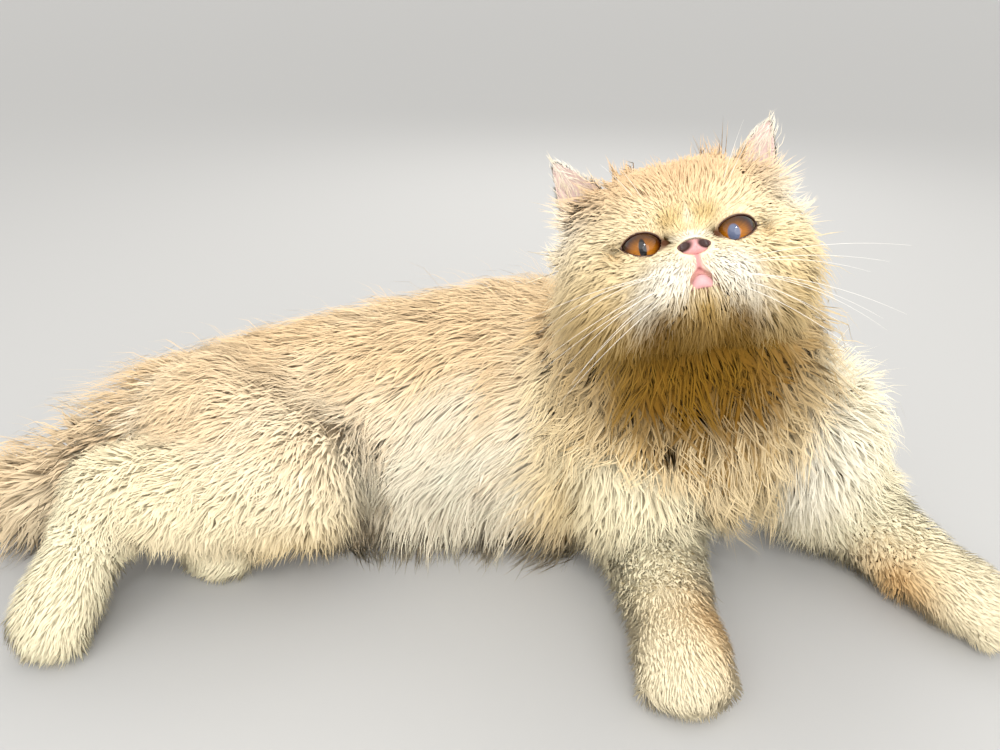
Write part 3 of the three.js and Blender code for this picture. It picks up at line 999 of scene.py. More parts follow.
# The coat of each part: length and height of its locks in mm, fall under gravity, hold to the body, wave in mm,
# locks on a square centimetre, width of a lock in mm and how steeply it leaves the skin.
HAIR_SIZES = ("length", "depth", "fall", "hold", "wave", "count", "width", "lift")
COLUMN = {name: column for column, name in enumerate(HAIR_SIZES)}
HAIR = {
    "trunk": (54, 25, 0.30, 0.80, 1.2, 20, 1.0, 0.60),
    "neck": (62, 36, 0.40, 0.75, 3.0, 19, 1.1, 0.70),
    "head": (38, 22, 0.20, 0.75, 1.0, 46, 0.85, 0.85),
    "tail": (64, 40, 0.30, 0.60, 2.6, 20, 1.0, 0.95),
    "thigh": (38, 17, 0.35, 0.80, 1.5, 23, 0.9, 0.55),
    "shank": (28, 14, 0.40, 0.70, 2.0, 25, 0.9, 0.65),
    "hind_foot": (13, 8, 0.15, 0.75, 1.2, 38, 0.9, 0.80),
    "shank_under": (20, 9, 0.30, 0.75, 1.5, 26, 1.0, 0.60),
    "foot_under": (9, 5, 0.10, 0.80, 0.5, 38, 0.85, 0.70),
    "upper": (42, 21, 0.35, 0.70, 1.8, 23, 0.9, 0.75),
    "lower": (15, 9, 0.15, 0.80, 1.0, 36, 0.9, 0.8),
    "paw": (9, 5.2, 0.05, 0.80, 0.5, 48, 0.8, 0.8),
}


def blended(hair, share, **goals):
    """Moves the named sizes of the hair towards their goals, fully where share is 1."""
    for name, goal in goals.items():
        hair[name] = mix(hair[name], goal, share)


def hair_sizes(points, normals, share, ear):
    """The sizes of HAIR at each point, as a table with a column for each of HAIR_SIZES.

    Lengths are in metres and the count is on a square metre. On the head they also grow away from the nose and
    the eyes.
    """
    table = np.zeros((len(points), len(HAIR_SIZES)))
    for name in share:
        key = name if name in HAIR else name.split("_")[-1]
        table += share[name][:, None] * np.array(HAIR[key])
    hair = dict(zip(HAIR_SIZES, table.T))
    head = share["head"] * (1 - ear)
    place = to_head(points)
    x, y, z = place.T * 1000
    far = np.linalg.norm(place - NOSE_ROOT, axis=1) * 1000
    spread = (0, 7, 14, 24, 36, 52, 78)
    up = step(2, 20, z) * step(40, 10, y)
    lids = np.stack([lid_measure(place, side) for side in (-1, 1)])
    eye = np.abs(lids).min(0) * 1000 + 30 * step(-12, 0, y)
    length = np.interp(far, spread, (2.0, 3.0, 6.0, 10, 19, 33, 40)) * (1 - 0.48 * up)
    depth = np.interp(far, spread, (0.8, 1.1, 2.2, 4.5, 12, 23, 25)) * (1 - 0.38 * up * step(44, 30, z))
    face = {
        "length": np.minimum(length, 2.2 + 0.65 * eye),
        "depth": np.minimum(depth, 0.8 + 0.25 * eye),
        "width": np.interp(far, spread, (0.42, 0.46, 0.52, 0.62, 0.72, 0.8, 0.9)),
        "count": np.interp(far, spread, (190, 180, 140, 100, 68, 46, 32)),
    }
    beard = spot(place, (0, -36, -45), (17, 22, 11))
    blended(face, beard, length=21, depth=6)
    blended(hair, head, **face)
    blended(hair, head * up, lift=1.15)
    cheek = head * both_sides(place, (52, -4, -20), (22, 30, 26))
    blended(hair, cheek, lift=1.5, length=40, depth=30, hold=0.45)
    pads = head * both_sides(place, (15, -44, -24), (8, 16, 7))
    blended(hair, pads, length=20, depth=5.5, hold=0.45, fall=0.5)
    # the small furry arch over the nose
    arch = head * spot(place, (0, -50, -2.6), (8.5, 12, 2.0))
    blended(hair, arch, length=4.6, depth=2.4, lift=1.2)
    # the front of the chest: long wavy locks
    chest = share["neck"] * step(0.2, -0.5, normals[:, 1])
    blended(hair, chest, wave=5.5, width=1.25, hold=0.6)
    # the fringe of the belly hangs free and sweeps the floor
    low = share["trunk"] * step(0.05, -0.35, normals[:, 2]) * step(0.062, 0.040, points[:, 2])
    fringe = 66 - 26 * step(-0.3, 0.3, normals[:, 1])
    blended(hair, low, fall=0.75, hold=0.0, wave=2.6, length=fringe, lift=1.3)
    hair["count"] = hair["count"] * (1 + 0.25 * low)
    # the tail's end and the plume at its root
    end = step(at(-280, 0, 0)[0], at(-350, 0, 0)[0], points[:, 0])
    hair["length"] = hair["length"] * (1 - 0.4 * end)
    hair["depth"] = hair["depth"] * (1 - 0.3 * end)
    plume = glow(points, (-238, 46, 92), (46, 46, 40)) * step(-0.2, 0.4, normals[:, 2])
    blended(hair, plume, length=62, depth=50, lift=1.7, hold=0.4)
    # ears: short nap
    blended(hair, ear, length=6.5, depth=1.8, width=0.6, count=110, lift=0.45, wave=0, fall=0)
    inner = ear * (dot(normals, FACE[None])[:, 0] > 0.05)
    blended(hair, inner, length=13, depth=5, width=0.45, count=16)
    # round the ears' roots
    base = head * both_sides(place, (52, -6, 14), (12, 18, 14))
    blended(hair, base, length=36, depth=18, hold=0.5, lift=1.0)
    hair["count"] = hair["count"] * (1 + 1.1 * base)
    tops = head * np.clip(both_sides(place, (27, -7, 35), (15, 20, 13)), 0, 1)
    blended(hair, tops, length=31, depth=31, lift=2.2)
    tuft = head * np.clip(both_sides(place, (38, -11, 28), (9, 16, 8)), 0, 1)
    blended(hair, tuft, length=44, depth=20, lift=1.2, hold=0.3)
    hair["count"] = hair["count"] * (1 + 0.8 * tuft)
    pit = head * np.clip(both_sides(place, (45, 1, 30), (10, 8, 10)), 0, 1)
    blended(hair, pit, length=14, depth=9, lift=0.9, hold=0.8)
    # long hair on top of the left shoulder
    shoulder = glow(points, (232, -4, 130), (28, 38, 17)) * (1 - head)
    blended(hair, shoulder, length=50, depth=38, lift=1.7)
    hair["count"] = hair["count"] * (1 + 1.1 * pit + 0.5 * shoulder)
    # nothing grows between the lids, on the nose and lips, or where the body lies on the floor
    bare = step(0.5, -0.1, eye * np.where(lids.min(0) < 0, -1, 1))
    bare = np.maximum(bare * step(-15, -20, y), leather_measure(place))
    front = step(-20, -30, y)
    lips = np.exp(-(((z * 0.001 - mouth_line(x * 0.001)) / 0.0013) ** 2)) * step(9, 6, np.abs(x)) * front
    lips = np.maximum(lips, np.exp(-((x / 1.8) ** 2)) * step(-24, -22, z) * step(-9, -11, z) * front)
    bare = np.clip(np.maximum(bare, np.maximum(lips * 1.6, lower_lip_measure(place))), 0, 1)
    buried = step(0.006, 0.002, points[:, 2]) * step(-0.6, -0.9, normals[:, 2])
    hair["count"] = hair["count"] * (1 - bare * (1 - ear)) * (1 - 0.9 * buried)
    scale = {"length": 1e-3, "depth": 1e-3, "wave": 1e-3, "width": 1e-3, "count": 1e4}
    return np.stack([hair[name] * scale.get(name, 1) for name in HAIR_SIZES], 1)


def leather_measure(place):
    """1 on the nose leather and 0 off it, at places of the head's frame."""
    x, y, z = place.T * 1000
    return step(1.25, 0.95, np.sqrt((x / 8.0) ** 2 + ((z + 8.0) / 4.6) ** 2)) * step(-30, -40, y)


def lower_lip_measure(place):
    """1 on the bare lower lip and 0 off it, at places of the head's frame."""
    x, y, z = place.T * 1000
    far = np.sqrt((x / (4.8 + 0.6 * (-24 - z))) ** 2 + ((z + 24.0) / 2.8) ** 2)
    return step(1.2, 0.9, far) * step(-30, -38, y)


class Field:
    """The skin as the coat needs it: where it lies, how it faces, and the hair at each of its points."""

    def __init__(self, skin, looks):
        mesh = skin.data
        self.points, self.normals = points_of(mesh), normals_of(mesh)
        self.triangles = triangles_of(mesh)
        edges = edges_of(mesh)
        ear = np.empty(len(self.points), np.float32)
        mesh.attributes["ear"].data.foreach_get("value", ear)
        self.ear = ear.astype(float)
        self.readings = body_reading(self.points)
        share = shares(self.readings)
        names = list(share)
        even = averaged(np.stack([share[n] for n in names], 1), edges, 30)
        self.share = dict(zip(names, even.T))
        self.flow = lie_of_coat(self.points, self.normals, self.share, self.readings, edges)
        self.soft = unit(averaged(self.normals, edges, 60))
        place = to_head(self.points)
        bases = both_sides(place, (50, -8, 18), (15, 18, 20))[:, None]
        self.soft = unit(self.soft + 0.6 * bases * FACE)
        rims = self.normals + 1.2 * FACE * step(-0.7, -0.1, dot(self.normals, FACE[None]))
        self.soft = np.where(self.ear[:, None] > 0.5, unit(rims), self.soft)
        tips = unit(np.stack([HEAD_AXES.T @ unit(np.array(EAR_WAY) * (s, 1, 1)) for s in (-1, 1)]))
        leaning = tips[(place[:, 0] > 0).astype(int)]
        leaning = leaning - self.normals * dot(leaning, self.normals)
        self.flow = unit(mix(self.flow, leaning, self.ear))
        self.sizes = hair_sizes(self.points, self.normals, self.share, self.ear)
        self.colour = coat_colour(self.points, self.normals, self.share, looks)
        self.colour, self.tips = lock_ends(self.colour, self.points, self.normals, self.share, looks)
        self.tree = BVHTree.FromPolygons(self.points.tolist(), self.triangles.tolist())

    def nearest(self, places):
        """The skin's point nearest to each place, how it faces there, that way evened, and the triangle."""
        found = [self.tree.find_nearest(p) for p in places.tolist()]
        spots = np.array([f[0] for f in found])
        tri = np.array([f[2] for f in found])
        corners = self.triangles[tri]
        return spots, unit(self.normals[corners].mean(1)), unit(self.soft[corners].mean(1)), tri

    def scattered(self, fullness, rng):
        """Roots over the skin, as triangles and shares of their corners, spaced by area times locks per area."""
        a, b, c = (self.points[self.triangles[:, i]] for i in range(3))
        area = np.linalg.norm(np.cross(b - a, c - a), axis=1) / 2
        total = np.cumsum(area * self.sizes[self.triangles, COLUMN["count"]].mean(1)) * fullness
        count = int(total[-1])
        tri = np.minimum(np.searchsorted(total, (np.arange(count) + rng.random(count)) * total[-1] / count),
                         len(area) - 1)
        u, v = rng.random((2, count))
        u, v = np.where(u + v > 1, 1 - u, u), np.where(u + v > 1, 1 - v, v)
        return tri, np.stack([1 - u - v, u, v], 1)

    def read(self, values, tri, weights):
        """Values of the skin's points at roots."""
        return np.einsum("nk...,nk->n...", values[self.triangles[tri]], weights)


# How far along its length each ring of a lock lies, by kind of lock; the last is its tip.
RINGS = {
    "short": (0, 0.5, 1),
    "undercoat": (0, 0.34, 0.7, 1),
    "top": (0, 0.34, 0.7, 1),
    "long": (0, 0.24, 0.5, 0.77, 1),
}


def grow(field, root, normal, flow, size, level, rings, rng):
    """Locks grown ring by ring from their roots, and the way the skin faces under each ring.

    Every step goes along the hair's way at the skin below, plus lift off the skin near the root and fall towards
    the tip. Then the ring is held at the height level * depth * (1 - (1 - s)^2.6) over the skin, as firmly as
    hold says, and kept above the floor.
    """
    length, depth, fall, hold, _, _, _, lift = (size[:, i:i + 1] for i in range(8))
    count = len(root)
    level = level[:, None]
    length = length * rng.uniform(0.72, 1.12, (count, 1))
    stray = rng.normal(0, 0.09, (count, 3))
    stray += 0.24 * np.stack([ripple(root, 0.030, 40 + i) for i in range(3)], 1)
    floor = FLOOR_GAP + 0.0028 * rng.random(count)
    paths, outs = [root - normal * 0.0007], [field.nearest(root)[2]]
    here, facing, way = paths[0], normal, flow
    for before, after in zip(rings, rings[1:]):
        reach_of = length * (after - before)
        aim = unit(way + facing * lift * (1 - before) ** 2 * (0.5 + level) + stray - UP * fall * after)
        spot_at = here + aim * reach_of
        under, facing, soft, tri = field.nearest(spot_at)
        goal = level * depth * (1 - (1 - after) ** 2.6)
        height = dot(spot_at - under, facing)
        held = under + facing * goal
        grip = hold * (0.12 + 0.88 * step(-0.45, 0.12, facing[:, 2:]))
        spot_at = np.where(height < goal * 0.25, under + facing * goal * 0.5, mix(spot_at, held, grip[:, 0]))
        below = np.maximum(floor - spot_at[:, 2], 0)
        level_out = unit(facing * (1, 1, 0) + aim * (1, 1, 0) * 0.5)
        spot_at = spot_at + level_out * (below * 0.8)[:, None]
        spot_at[:, 2] += below
        spot_at = here + unit(spot_at - here) * reach_of
        spot_at[:, 2] = np.maximum(spot_at[:, 2], floor)
        lie = unit(field.flow[field.triangles[tri]].mean(1))
        way = unit(mix(lie, unit(spot_at - here), 0.85 - 0.5 * grip[:, 0]))
        here = spot_at
        paths.append(spot_at)
        outs.append(soft)
    return np.stack(paths, 1), np.stack(outs, 1)


CELL_FACTORS = (73856093, 19349663, 83492791)  # they turn a cell's three numbers into one


def locked(paths, spacing, strength, rings, rng):
    """Hairs drawn towards guides about spacing apart, more towards the tips, to end in shared points."""
    root = paths[:, 0]
    cell = np.floor(root / spacing + rng.random(3)).astype(np.int64)
    _, guide = np.unique(np.bitwise_xor.reduce(cell * CELL_FACTORS, axis=1), return_index=True)
    tree = KDTree(len(guide))
    for i, p in enumerate(root[guide].tolist()):
        tree.insert(p, i)
    tree.balance()
    nearest = guide[[tree.find(p)[1] for p in root.tolist()]]
    pull = np.asarray(strength)[:, None] * np.asarray(rings)[None] ** 1.3
    pull = pull * rng.uniform(0.55, 1.0, (len(root), 1))
    offset = root - root[nearest]
    near = np.linalg.norm(offset, axis=1) < spacing * 1.6
    goal = paths[nearest] + offset[:, None] * (1 - pull[..., None])
    return mix(paths, goal, pull * near[:, None]), nearest


def waved(paths, outs, height, rings, phase):
    """Locks bent sideways by height * s * (sin t - sin(2 pi phase)) and outwards by 0.4 * height * s * |cos t|.

    Here t is 2 pi (1.4 s + phase).
    """
    way = unit(paths[:, -1] - paths[:, 0])
    side = unit(np.cross(way, outs[:, 1]))
    s = np.asarray(rings)[None]
    turn = 2 * math.pi * (1.4 * s + phase[:, None])
    bend = (height[:, None] * s * (np.sin(turn) - np.sin(2 * math.pi * phase)[:, None]))[..., None]
    lift = (0.4 * height[:, None] * s * np.cos(turn))[..., None]
    return paths + bend * side[:, None] + np.abs(lift) * outs


class Locks:
    """Locks of one ring count with all that their mesh needs."""

    def __init__(self, paths, outs, rings, width, colour, tip, hug, part, place):
        self.paths, self.outs, self.rings = paths, outs, rings
        self.width, self.colour, self.tip, self.hug, self.part, self.place = width, colour, tip, hug, part, place

    def picked(self, which):
        """Some of the locks."""
        return Locks(self.paths[which], self.outs[which], self.rings, self.width[which], self.colour[which],
                     self.tip[which], self.hug[which], self.part[which], self.place[which])

    def __len__(self):
        return len(self.paths)

    def triangles(self):
        """Triangles in one lock: its root's cap, the sides between rings and the tip."""
        return 1 + 6 * (len(self.rings) - 2) + 3


def unwrap_place(part, angle, along, parts):
    """The place of a root on the unwrap: each part has a cell of the square, by turn about it and along it."""
    order = sorted(set(parts.tolist()))
    side = math.ceil(math.sqrt(len(order)))
    cell = np.searchsorted(order, part)
    size = 1.0 / side
    u = (cell % side + 0.01 + 0.97 * angle) * size
    v = (cell // side + 0.01 + 0.97 * np.clip(along, 0, 1)) * size
    return np.stack([np.minimum(u, 0.9965), np.clip(v, 0.001, 0.996)], 1)


PATCH = 0.003  # width of a lock on the unwrap


def lock_faces(rings):
    """The faces of one lock as point numbers, each with its corners' places on the lock's patch.

    The four-cornered faces between the rings come first, then the root's cap and the three faces of the tip.
    """
    quads, quad_map = [], []
    for k, (low, high) in enumerate(zip(rings[:-2], rings[1:-1])):
        for j in range(3):
            n = (j + 1) % 3
            quads.append((k * 3 + j, (k + 1) * 3 + j, (k + 1) * 3 + n, k * 3 + n))
            quad_map.append(((j / 3, low), (j / 3, high), ((j + 1) / 3, high), ((j + 1) / 3, low)))
    last = (len(rings) - 2) * 3
    tris, tri_map = [(0, 1, 2)], [((0.0, 0.02), (0.3, 0.02), (0.15, 0.10))]
    for j in range(3):
        tris.append((last + j, last + 3, last + (j + 1) % 3))
        tri_map.append(((j / 3, rings[-2]), ((j + 0.5) / 3, 1.0), ((j + 1) / 3, rings[-2])))
    return (quads, quad_map), (tris, tri_map)


def lock_arrays(locks, spots, rng):
    """Points, four- and three-cornered faces, their map corners, normals and colours of locks.

    A lock is a tapered closed prism of three sides along its path. The half width at s is
    width / 2 * (0.66 + 1.1 s - 1.3 s^2), each ring is turned about the path, and all sides meet in the tip.
    """
    paths, outs, rings = locks.paths, locks.outs, np.asarray(locks.rings)
    count, ring_count = len(paths), len(rings) - 1
    tangent = unit(np.gradient(paths, axis=1))
    side = unit(np.cross(tangent, outs))
    lift = np.cross(side, tangent)
    roll = rng.uniform(-1, 1, (count, 1, 1)) * np.clip(0.00020 / locks.width, 0.05, 0.30)[:, None, None]
    side, lift = side * np.cos(roll) + lift * np.sin(roll), lift * np.cos(roll) - side * np.sin(roll)
    s = rings[:-1]
    half = (locks.width[:, None] * 0.5 * (0.66 + 1.10 * s - 1.30 * s**2)[None])[..., None]
    middle, across, out = paths[:, :-1], side[:, :-1] * half, lift[:, :-1] * half
    corners = np.stack([middle - across, middle + across, middle + out * 0.22], 2)
    points = np.concatenate([corners.reshape(count, -1, 3), paths[:, -1:]], 1)
    toward = np.stack([-side[:, :-1] - 0.2 * lift[:, :-1], side[:, :-1] - 0.2 * lift[:, :-1], lift[:, :-1]], 2)
    hug = locks.hug[:, None, None, None]
    even = unit(outs - (0.10 if ring_count == 2 else 0.50) * tangent * dot(outs, tangent))
    facing = unit(hug * even[:, :-1, None] + 0.6 * toward)
    end = unit(hug[:, 0] * even[:, -1:] + 0.6 * tangent[:, -1:])
    normals = np.concatenate([facing.reshape(count, -1, 3), end], 1)
    along = np.concatenate([np.repeat(s, 3), [1.0]])
    colours = mix(locks.colour[:, None], locks.tip[:, None], np.repeat(step(0.1, 0.9, along)[None], count, 0))
    # each lock is painted 8% darker at its root, as painted shade deep in the coat, and 3% paler at its tip
    colours = np.clip(colours * np.interp(along, (0, 0.45, 1), (0.92, 1.0, 1.03))[None, :, None], 0, 1)
    base = (np.arange(count) * points.shape[1])[:, None, None]
    made = []
    for faces, places in lock_faces(locks.rings):
        faces = (np.array(faces)[None] + base).reshape(-1, len(faces[0]))
        places = (np.array(places)[None] * PATCH + spots[:, None, None]).reshape(-1, 2)
        made.append((faces, places))
    return points.reshape(-1, 3), made, normals.reshape(-1, 3), colours.reshape(-1, 3)


def coat_piece(name, groups, made, rng):
    """One object of locks of several kinds, with its colours, its normals and the map OFBake."""
    parts = np.concatenate([g.part for g in groups])
    points, quads, quad_map, tris, tri_map, normals, colours = [], [], [], [], [], [], []
    offset = 0
    for group in groups:
        spots = unwrap_place(group.part, group.place[:, 0], group.place[:, 1], parts)
        p, ((q, qm), (t, tm)), n, c = lock_arrays(group, spots, rng)
        quads.append(q + offset)
        tris.append(t + offset)
        quad_map.append(qm)
        tri_map.append(tm)
        points.append(p)
        normals.append(n)
        colours.append(c)
        offset += len(p)
    piece = new_object(name, np.vstack(points), [np.vstack(quads), np.vstack(tris)])
    layer = piece.data.uv_layers.new(name="OFBake")
    layer.data.foreach_set("uv", np.vstack(quad_map + tri_map).astype(np.float32).ravel())
    paint(piece, "Coat", np.vstack(colours))
    piece.data.normals_split_custom_set_from_vertices(np.vstack(normals).tolist())
    piece.data.materials.append(made)
    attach(piece, "root")
    return piece


# Which parts share a piece of the coat, and a material slot name for each piece, which is not used: every piece
# gets the one coat material.
COAT_PIECES = {
    "body": (("trunk",), "cream_coat"),
    "ruff": (("neck",), "pale_coat"),
    "head": (("head",), "cream_coat"),
    "forelegs": (("fore_right_upper", "fore_right_lower", "fore_right_paw", "fore_left_upper", "fore_left_lower",
                  "fore_left_paw"), "pale_coat"),
    "hindlegs": (("thigh", "shank", "hind_foot", "shank_under", "foot_under"), "cream_coat"),
    "tail": (("tail",), "cream_coat"),
}
MOST_TRIANGLES = 190000


# Wide locks of undercoat fill the coat from below; finer ones of the top coat lie over them. Heights as shares
# of the depth, and widths and lengths as shares of the table's, for each kind of RINGS.
UNDER_SHARE = 0.38
LEVELS = ((0.86, 1.00), (0.76, 0.90), (0.88, 1.02), (0.74, 1.05))
WIDTHS = (0.90, 3.4, 0.70, 0.78)
LENGTHS = (1, 0.74, 1, 1)
FLY_SHARE = 0.05  # top hairs that stand a little out of the coat
SHORT_HAIR = 0.0135  # the longest hair that counts as short


def grown_coat(field, fullness, length_share, rng):
    """All locks of the coat, by kind of lock."""
    tri, weights = field.scattered(fullness, rng)
    root = field.read(field.points, tri, weights)
    normal = unit(field.read(field.normals, tri, weights))
    flow = unit(field.read(field.flow, tri, weights))
    size = field.read(field.sizes, tri, weights)
    length, hold, wave, width = (size[:, COLUMN[name]] for name in ("length", "hold", "wave", "width"))
    length *= length_share
    colour = field.read(field.colour, tri, weights)
    tip_colour = field.read(field.tips, tri, weights)
    ear = field.ear[field.triangles[tri, 0]] > 0.5
    names = list(field.share)
    part = np.stack([field.share[n] for n in names], 1)[field.triangles[tri, 0]].argmax(1)
    place = np.zeros((len(root), 2))
    for i, name in enumerate(names):
        own = part == i
        row, _, turn = (r[field.triangles[tri[own], 0]] for r in field.readings[name])
        if name == "head":
            toward = unit(to_head(root[own]))
            place[own] = np.stack([turn, np.arccos(-toward[:, 1]) / math.pi], 1)
        else:
            place[own] = np.stack([turn, row / len(LIMBS[name].line)], 1)
    curved = (wave > 0.0021) | (hold < 0.4)
    short = length < SHORT_HAIR
    woolly = ~short & (rng.random(len(root)) < UNDER_SHARE)
    fly = ~short & ~woolly & (rng.random(len(root)) < FLY_SHARE)
    # each lock's kind, by its place in RINGS
    kinds = np.select([short, woolly, curved & (length > 0.026)], [0, 1, 3], 2)
    low, high = np.array(LEVELS)[kinds].T
    level = low + (high - low) * rng.random(len(root)) ** 0.75 + 0.30 * fly
    length *= np.array(LENGTHS)[kinds] * (1 + 0.12 * fly)
    width *= np.array(WIDTHS)[kinds] * (1 - 0.30 * fly) * rng.uniform(0.78, 1.22, len(root))
    hold *= 1 - 0.6 * fly
    flat = short & ~ear & (rng.random(len(root)) < UNDER_SHARE)
    width *= 1 + 1.1 * flat
    level *= 1 - 0.18 * flat
    tip_colour = np.where(woolly[:, None], colour, tip_colour)
    made = []
    for number, (kind, rings) in enumerate(RINGS.items()):
        own = np.flatnonzero(kinds == number)
        paths, outs = grow(field, root[own], normal[own], flow[own], size[own], level[own], rings, rng)
        grip = np.interp(length[own], (0.004, 0.015, 0.04, 0.07), (0.15, 0.40, 0.55, 0.70))
        grip *= (1 - 0.8 * fly[own]) * np.interp(wave[own], (0.0016, 0.0026, 0.0050), (0.45, 1.0, 1.6))
        if kind != "short":
            pull = np.minimum(grip * (0.85 if kind == "long" else 0.6), 1)
            paths, guide = locked(paths, 0.010, pull, rings, rng)
            phase = ripple(root[own][guide], 0.02, 9) + rng.normal(0, 0.05, len(own))
            paths = waved(paths, outs, wave[own], rings, phase)
        if kind != "undercoat":
            paths, guide = locked(paths, 0.0045 if kind == "long" else 0.0032, grip * 0.8, rings, rng)
        tone = rng.normal(0, 0.022, len(own))[guide] + rng.normal(0, 0.018, len(own))
        paths[:, 1:, 2] = np.maximum(paths[:, 1:, 2], FLOOR_GAP)
        hues = (end[own] * (1 + tone)[:, None] for end in (colour, tip_colour))
        low, high = (np.array(corner) for corner in CAD_BOX)
        room = 0.008 + 0.02 * (high - low)
        inside = ((paths > low - room) & (paths < high + room)).all((1, 2))
        hug = np.where(ear[own], 0.8, np.interp(hold[own], (0.2, 0.6), (0.9, 3.0)))
        locks = Locks(paths, outs, rings, width[own], *hues, hug, part[own], place[own])
        made.append(locks.picked(clear_of_face(paths, ear[own]) & inside))
    return made, names


def clear_of_face(paths, ear):
    """Whether each lock leaves the eyes, the nose leather and the lips in sight."""
    clear = np.ones(len(paths), bool)
    for k in range(1, paths.shape[1]):
        for share in (0.5, 1.0):
            place = to_head(mix(paths[:, k - 1], paths[:, k], share))
            front = (place[:, 1] < -0.022) & ~ear
            near = front & (np.abs(place[:, 0]) < 0.04) & (np.abs(place[:, 2] + 0.012) < 0.03)
            at_front = np.flatnonzero(near)
            seen = place[at_front]
            over = np.minimum(*(lid_measure(seen, side) for side in (-1, 1))) < 0.0009
            over |= leather_measure(seen) > 0.35
            over |= lower_lip_measure(seen) > 0.5
            clear[at_front] &= ~over
    return clear


class CAT_OT_coat(bpy.types.Operator):
    """Grow the coat of locks over the skin"""

    bl_idname = "cat.coat"
    bl_label = "Coat"

    def execute(self, context):
        settings = context.scene.cat_coat
        rng = np.random.default_rng(20)
        field = Field(bpy.data.objects["skin"], looks_of(context))
        kinds, names = grown_coat(field, settings.fullness, settings.length, rng)
        made = hair_material("coat_hair")
        for piece, (parts, slot) in COAT_PIECES.items():
            wanted = np.array([names.index(p) for p in parts])
            own = [k.picked(np.flatnonzero(np.isin(k.part, wanted))) for k in kinds]
            triangles = sum(len(k) * k.triangles() for k in own)
            if not triangles:
                raise RuntimeError(f"the {piece} has no coat")
            chunks = math.ceil(triangles / MOST_TRIANGLES)
            # chunks run along the part, so that each is one stretch of the coat
            order = np.concatenate([k.part + k.place[:, 1] for k in own])
            bounds = np.quantile(order, np.linspace(0, 1, chunks + 1))
            bounds[0], bounds[-1] = -1, 1e9
            for i in range(chunks):
                groups = [k.picked(np.flatnonzero((k.part + k.place[:, 1] >= bounds[i])
                                                  & (k.part + k.place[:, 1] < bounds[i + 1]))) for k in own]
                groups = [g for g in groups if len(g)]
                coat_piece(f"coat_{piece}_{i + 1}" if chunks > 1 else f"coat_{piece}", groups, made, rng)
        return {"FINISHED"}


def skin_place(toward):
    """Places on the front of the head's skin, in the head's frame, in the given directions from its centre."""
    toward = unit(np.asarray(toward, float))
    return toward * face_radius(toward)[:, None]


def tube_grid(line, half, around=8):
    """A tube along a line as a grid of points: centre + half * (side cos a + lift sin a)."""
    tangent = unit(np.gradient(line, axis=0))
    side = unit(np.cross(tangent, unit(np.array((0.31, 0.17, 0.93)))))
    lift = np.cross(side, tangent)
    a = np.linspace(0, 2 * math.pi, around, endpoint=False)[None, :, None]
    half = np.broadcast_to(half, len(line))[:, None, None]
    return line[:, None] + half * (side[:, None] * np.cos(a) + lift[:, None] * np.sin(a))


def ball_grid(polar, around):
    """Unit directions by polar angle from -Y and turn about it."""
    a = np.linspace(0, 2 * math.pi, around, endpoint=False)[None]
    polar = polar[:, None]
    x, z = np.sin(polar) * np.cos(a), np.sin(polar) * np.sin(a)
    return np.stack(np.broadcast_arrays(x, -np.cos(polar), z), -1)


def eyeball(side, camera, settings):
    """One eyeball: a ball with a low bulge on its front, and the map Iris across its front.

    The radius is R + 0.6 mm * exp(-(polar / 0.5)^2). The map's place is sin(polar) (cos a, sin a) / 2 + 1/2.
    """
    polar = np.linspace(0, 1, 44) ** 1.25 * math.pi
    way = ball_grid(polar, 56)
    radius = EYE_RADIUS + 0.0006 * np.exp(-((polar / 0.5) ** 2))
    centre = EYE_PLACE * (side, 1, 1)
    gaze = unit(to_head(camera) - centre)
    level = unit(np.cross(gaze, (0, 0, 1.0)))
    axes = np.stack([-level, -gaze, np.cross(level, gaze)])
    points = (way * radius[:, None, None]) @ axes + centre
    name = "eye_left" if side > 0 else "eye_right"
    faces = grid_faces(*way.shape[:2])
    piece = new_object(f"{name}_ball", from_head(points.reshape(-1, 3)), [faces])
    flat = np.where(way[..., 1:2] < 0, way[..., ::2], unit(way[..., ::2] + 1e-9))
    layer = piece.data.uv_layers.new(name="Iris")
    layer.data.foreach_set("uv", (flat.reshape(-1, 2)[faces.ravel()] / 2 + 0.5).astype(np.float32).ravel())
    welded(piece)
    piece.data.materials.append(eye_material(f"{name}_iris", side, settings))
    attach(piece, "root")
    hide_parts(name)
    return piece


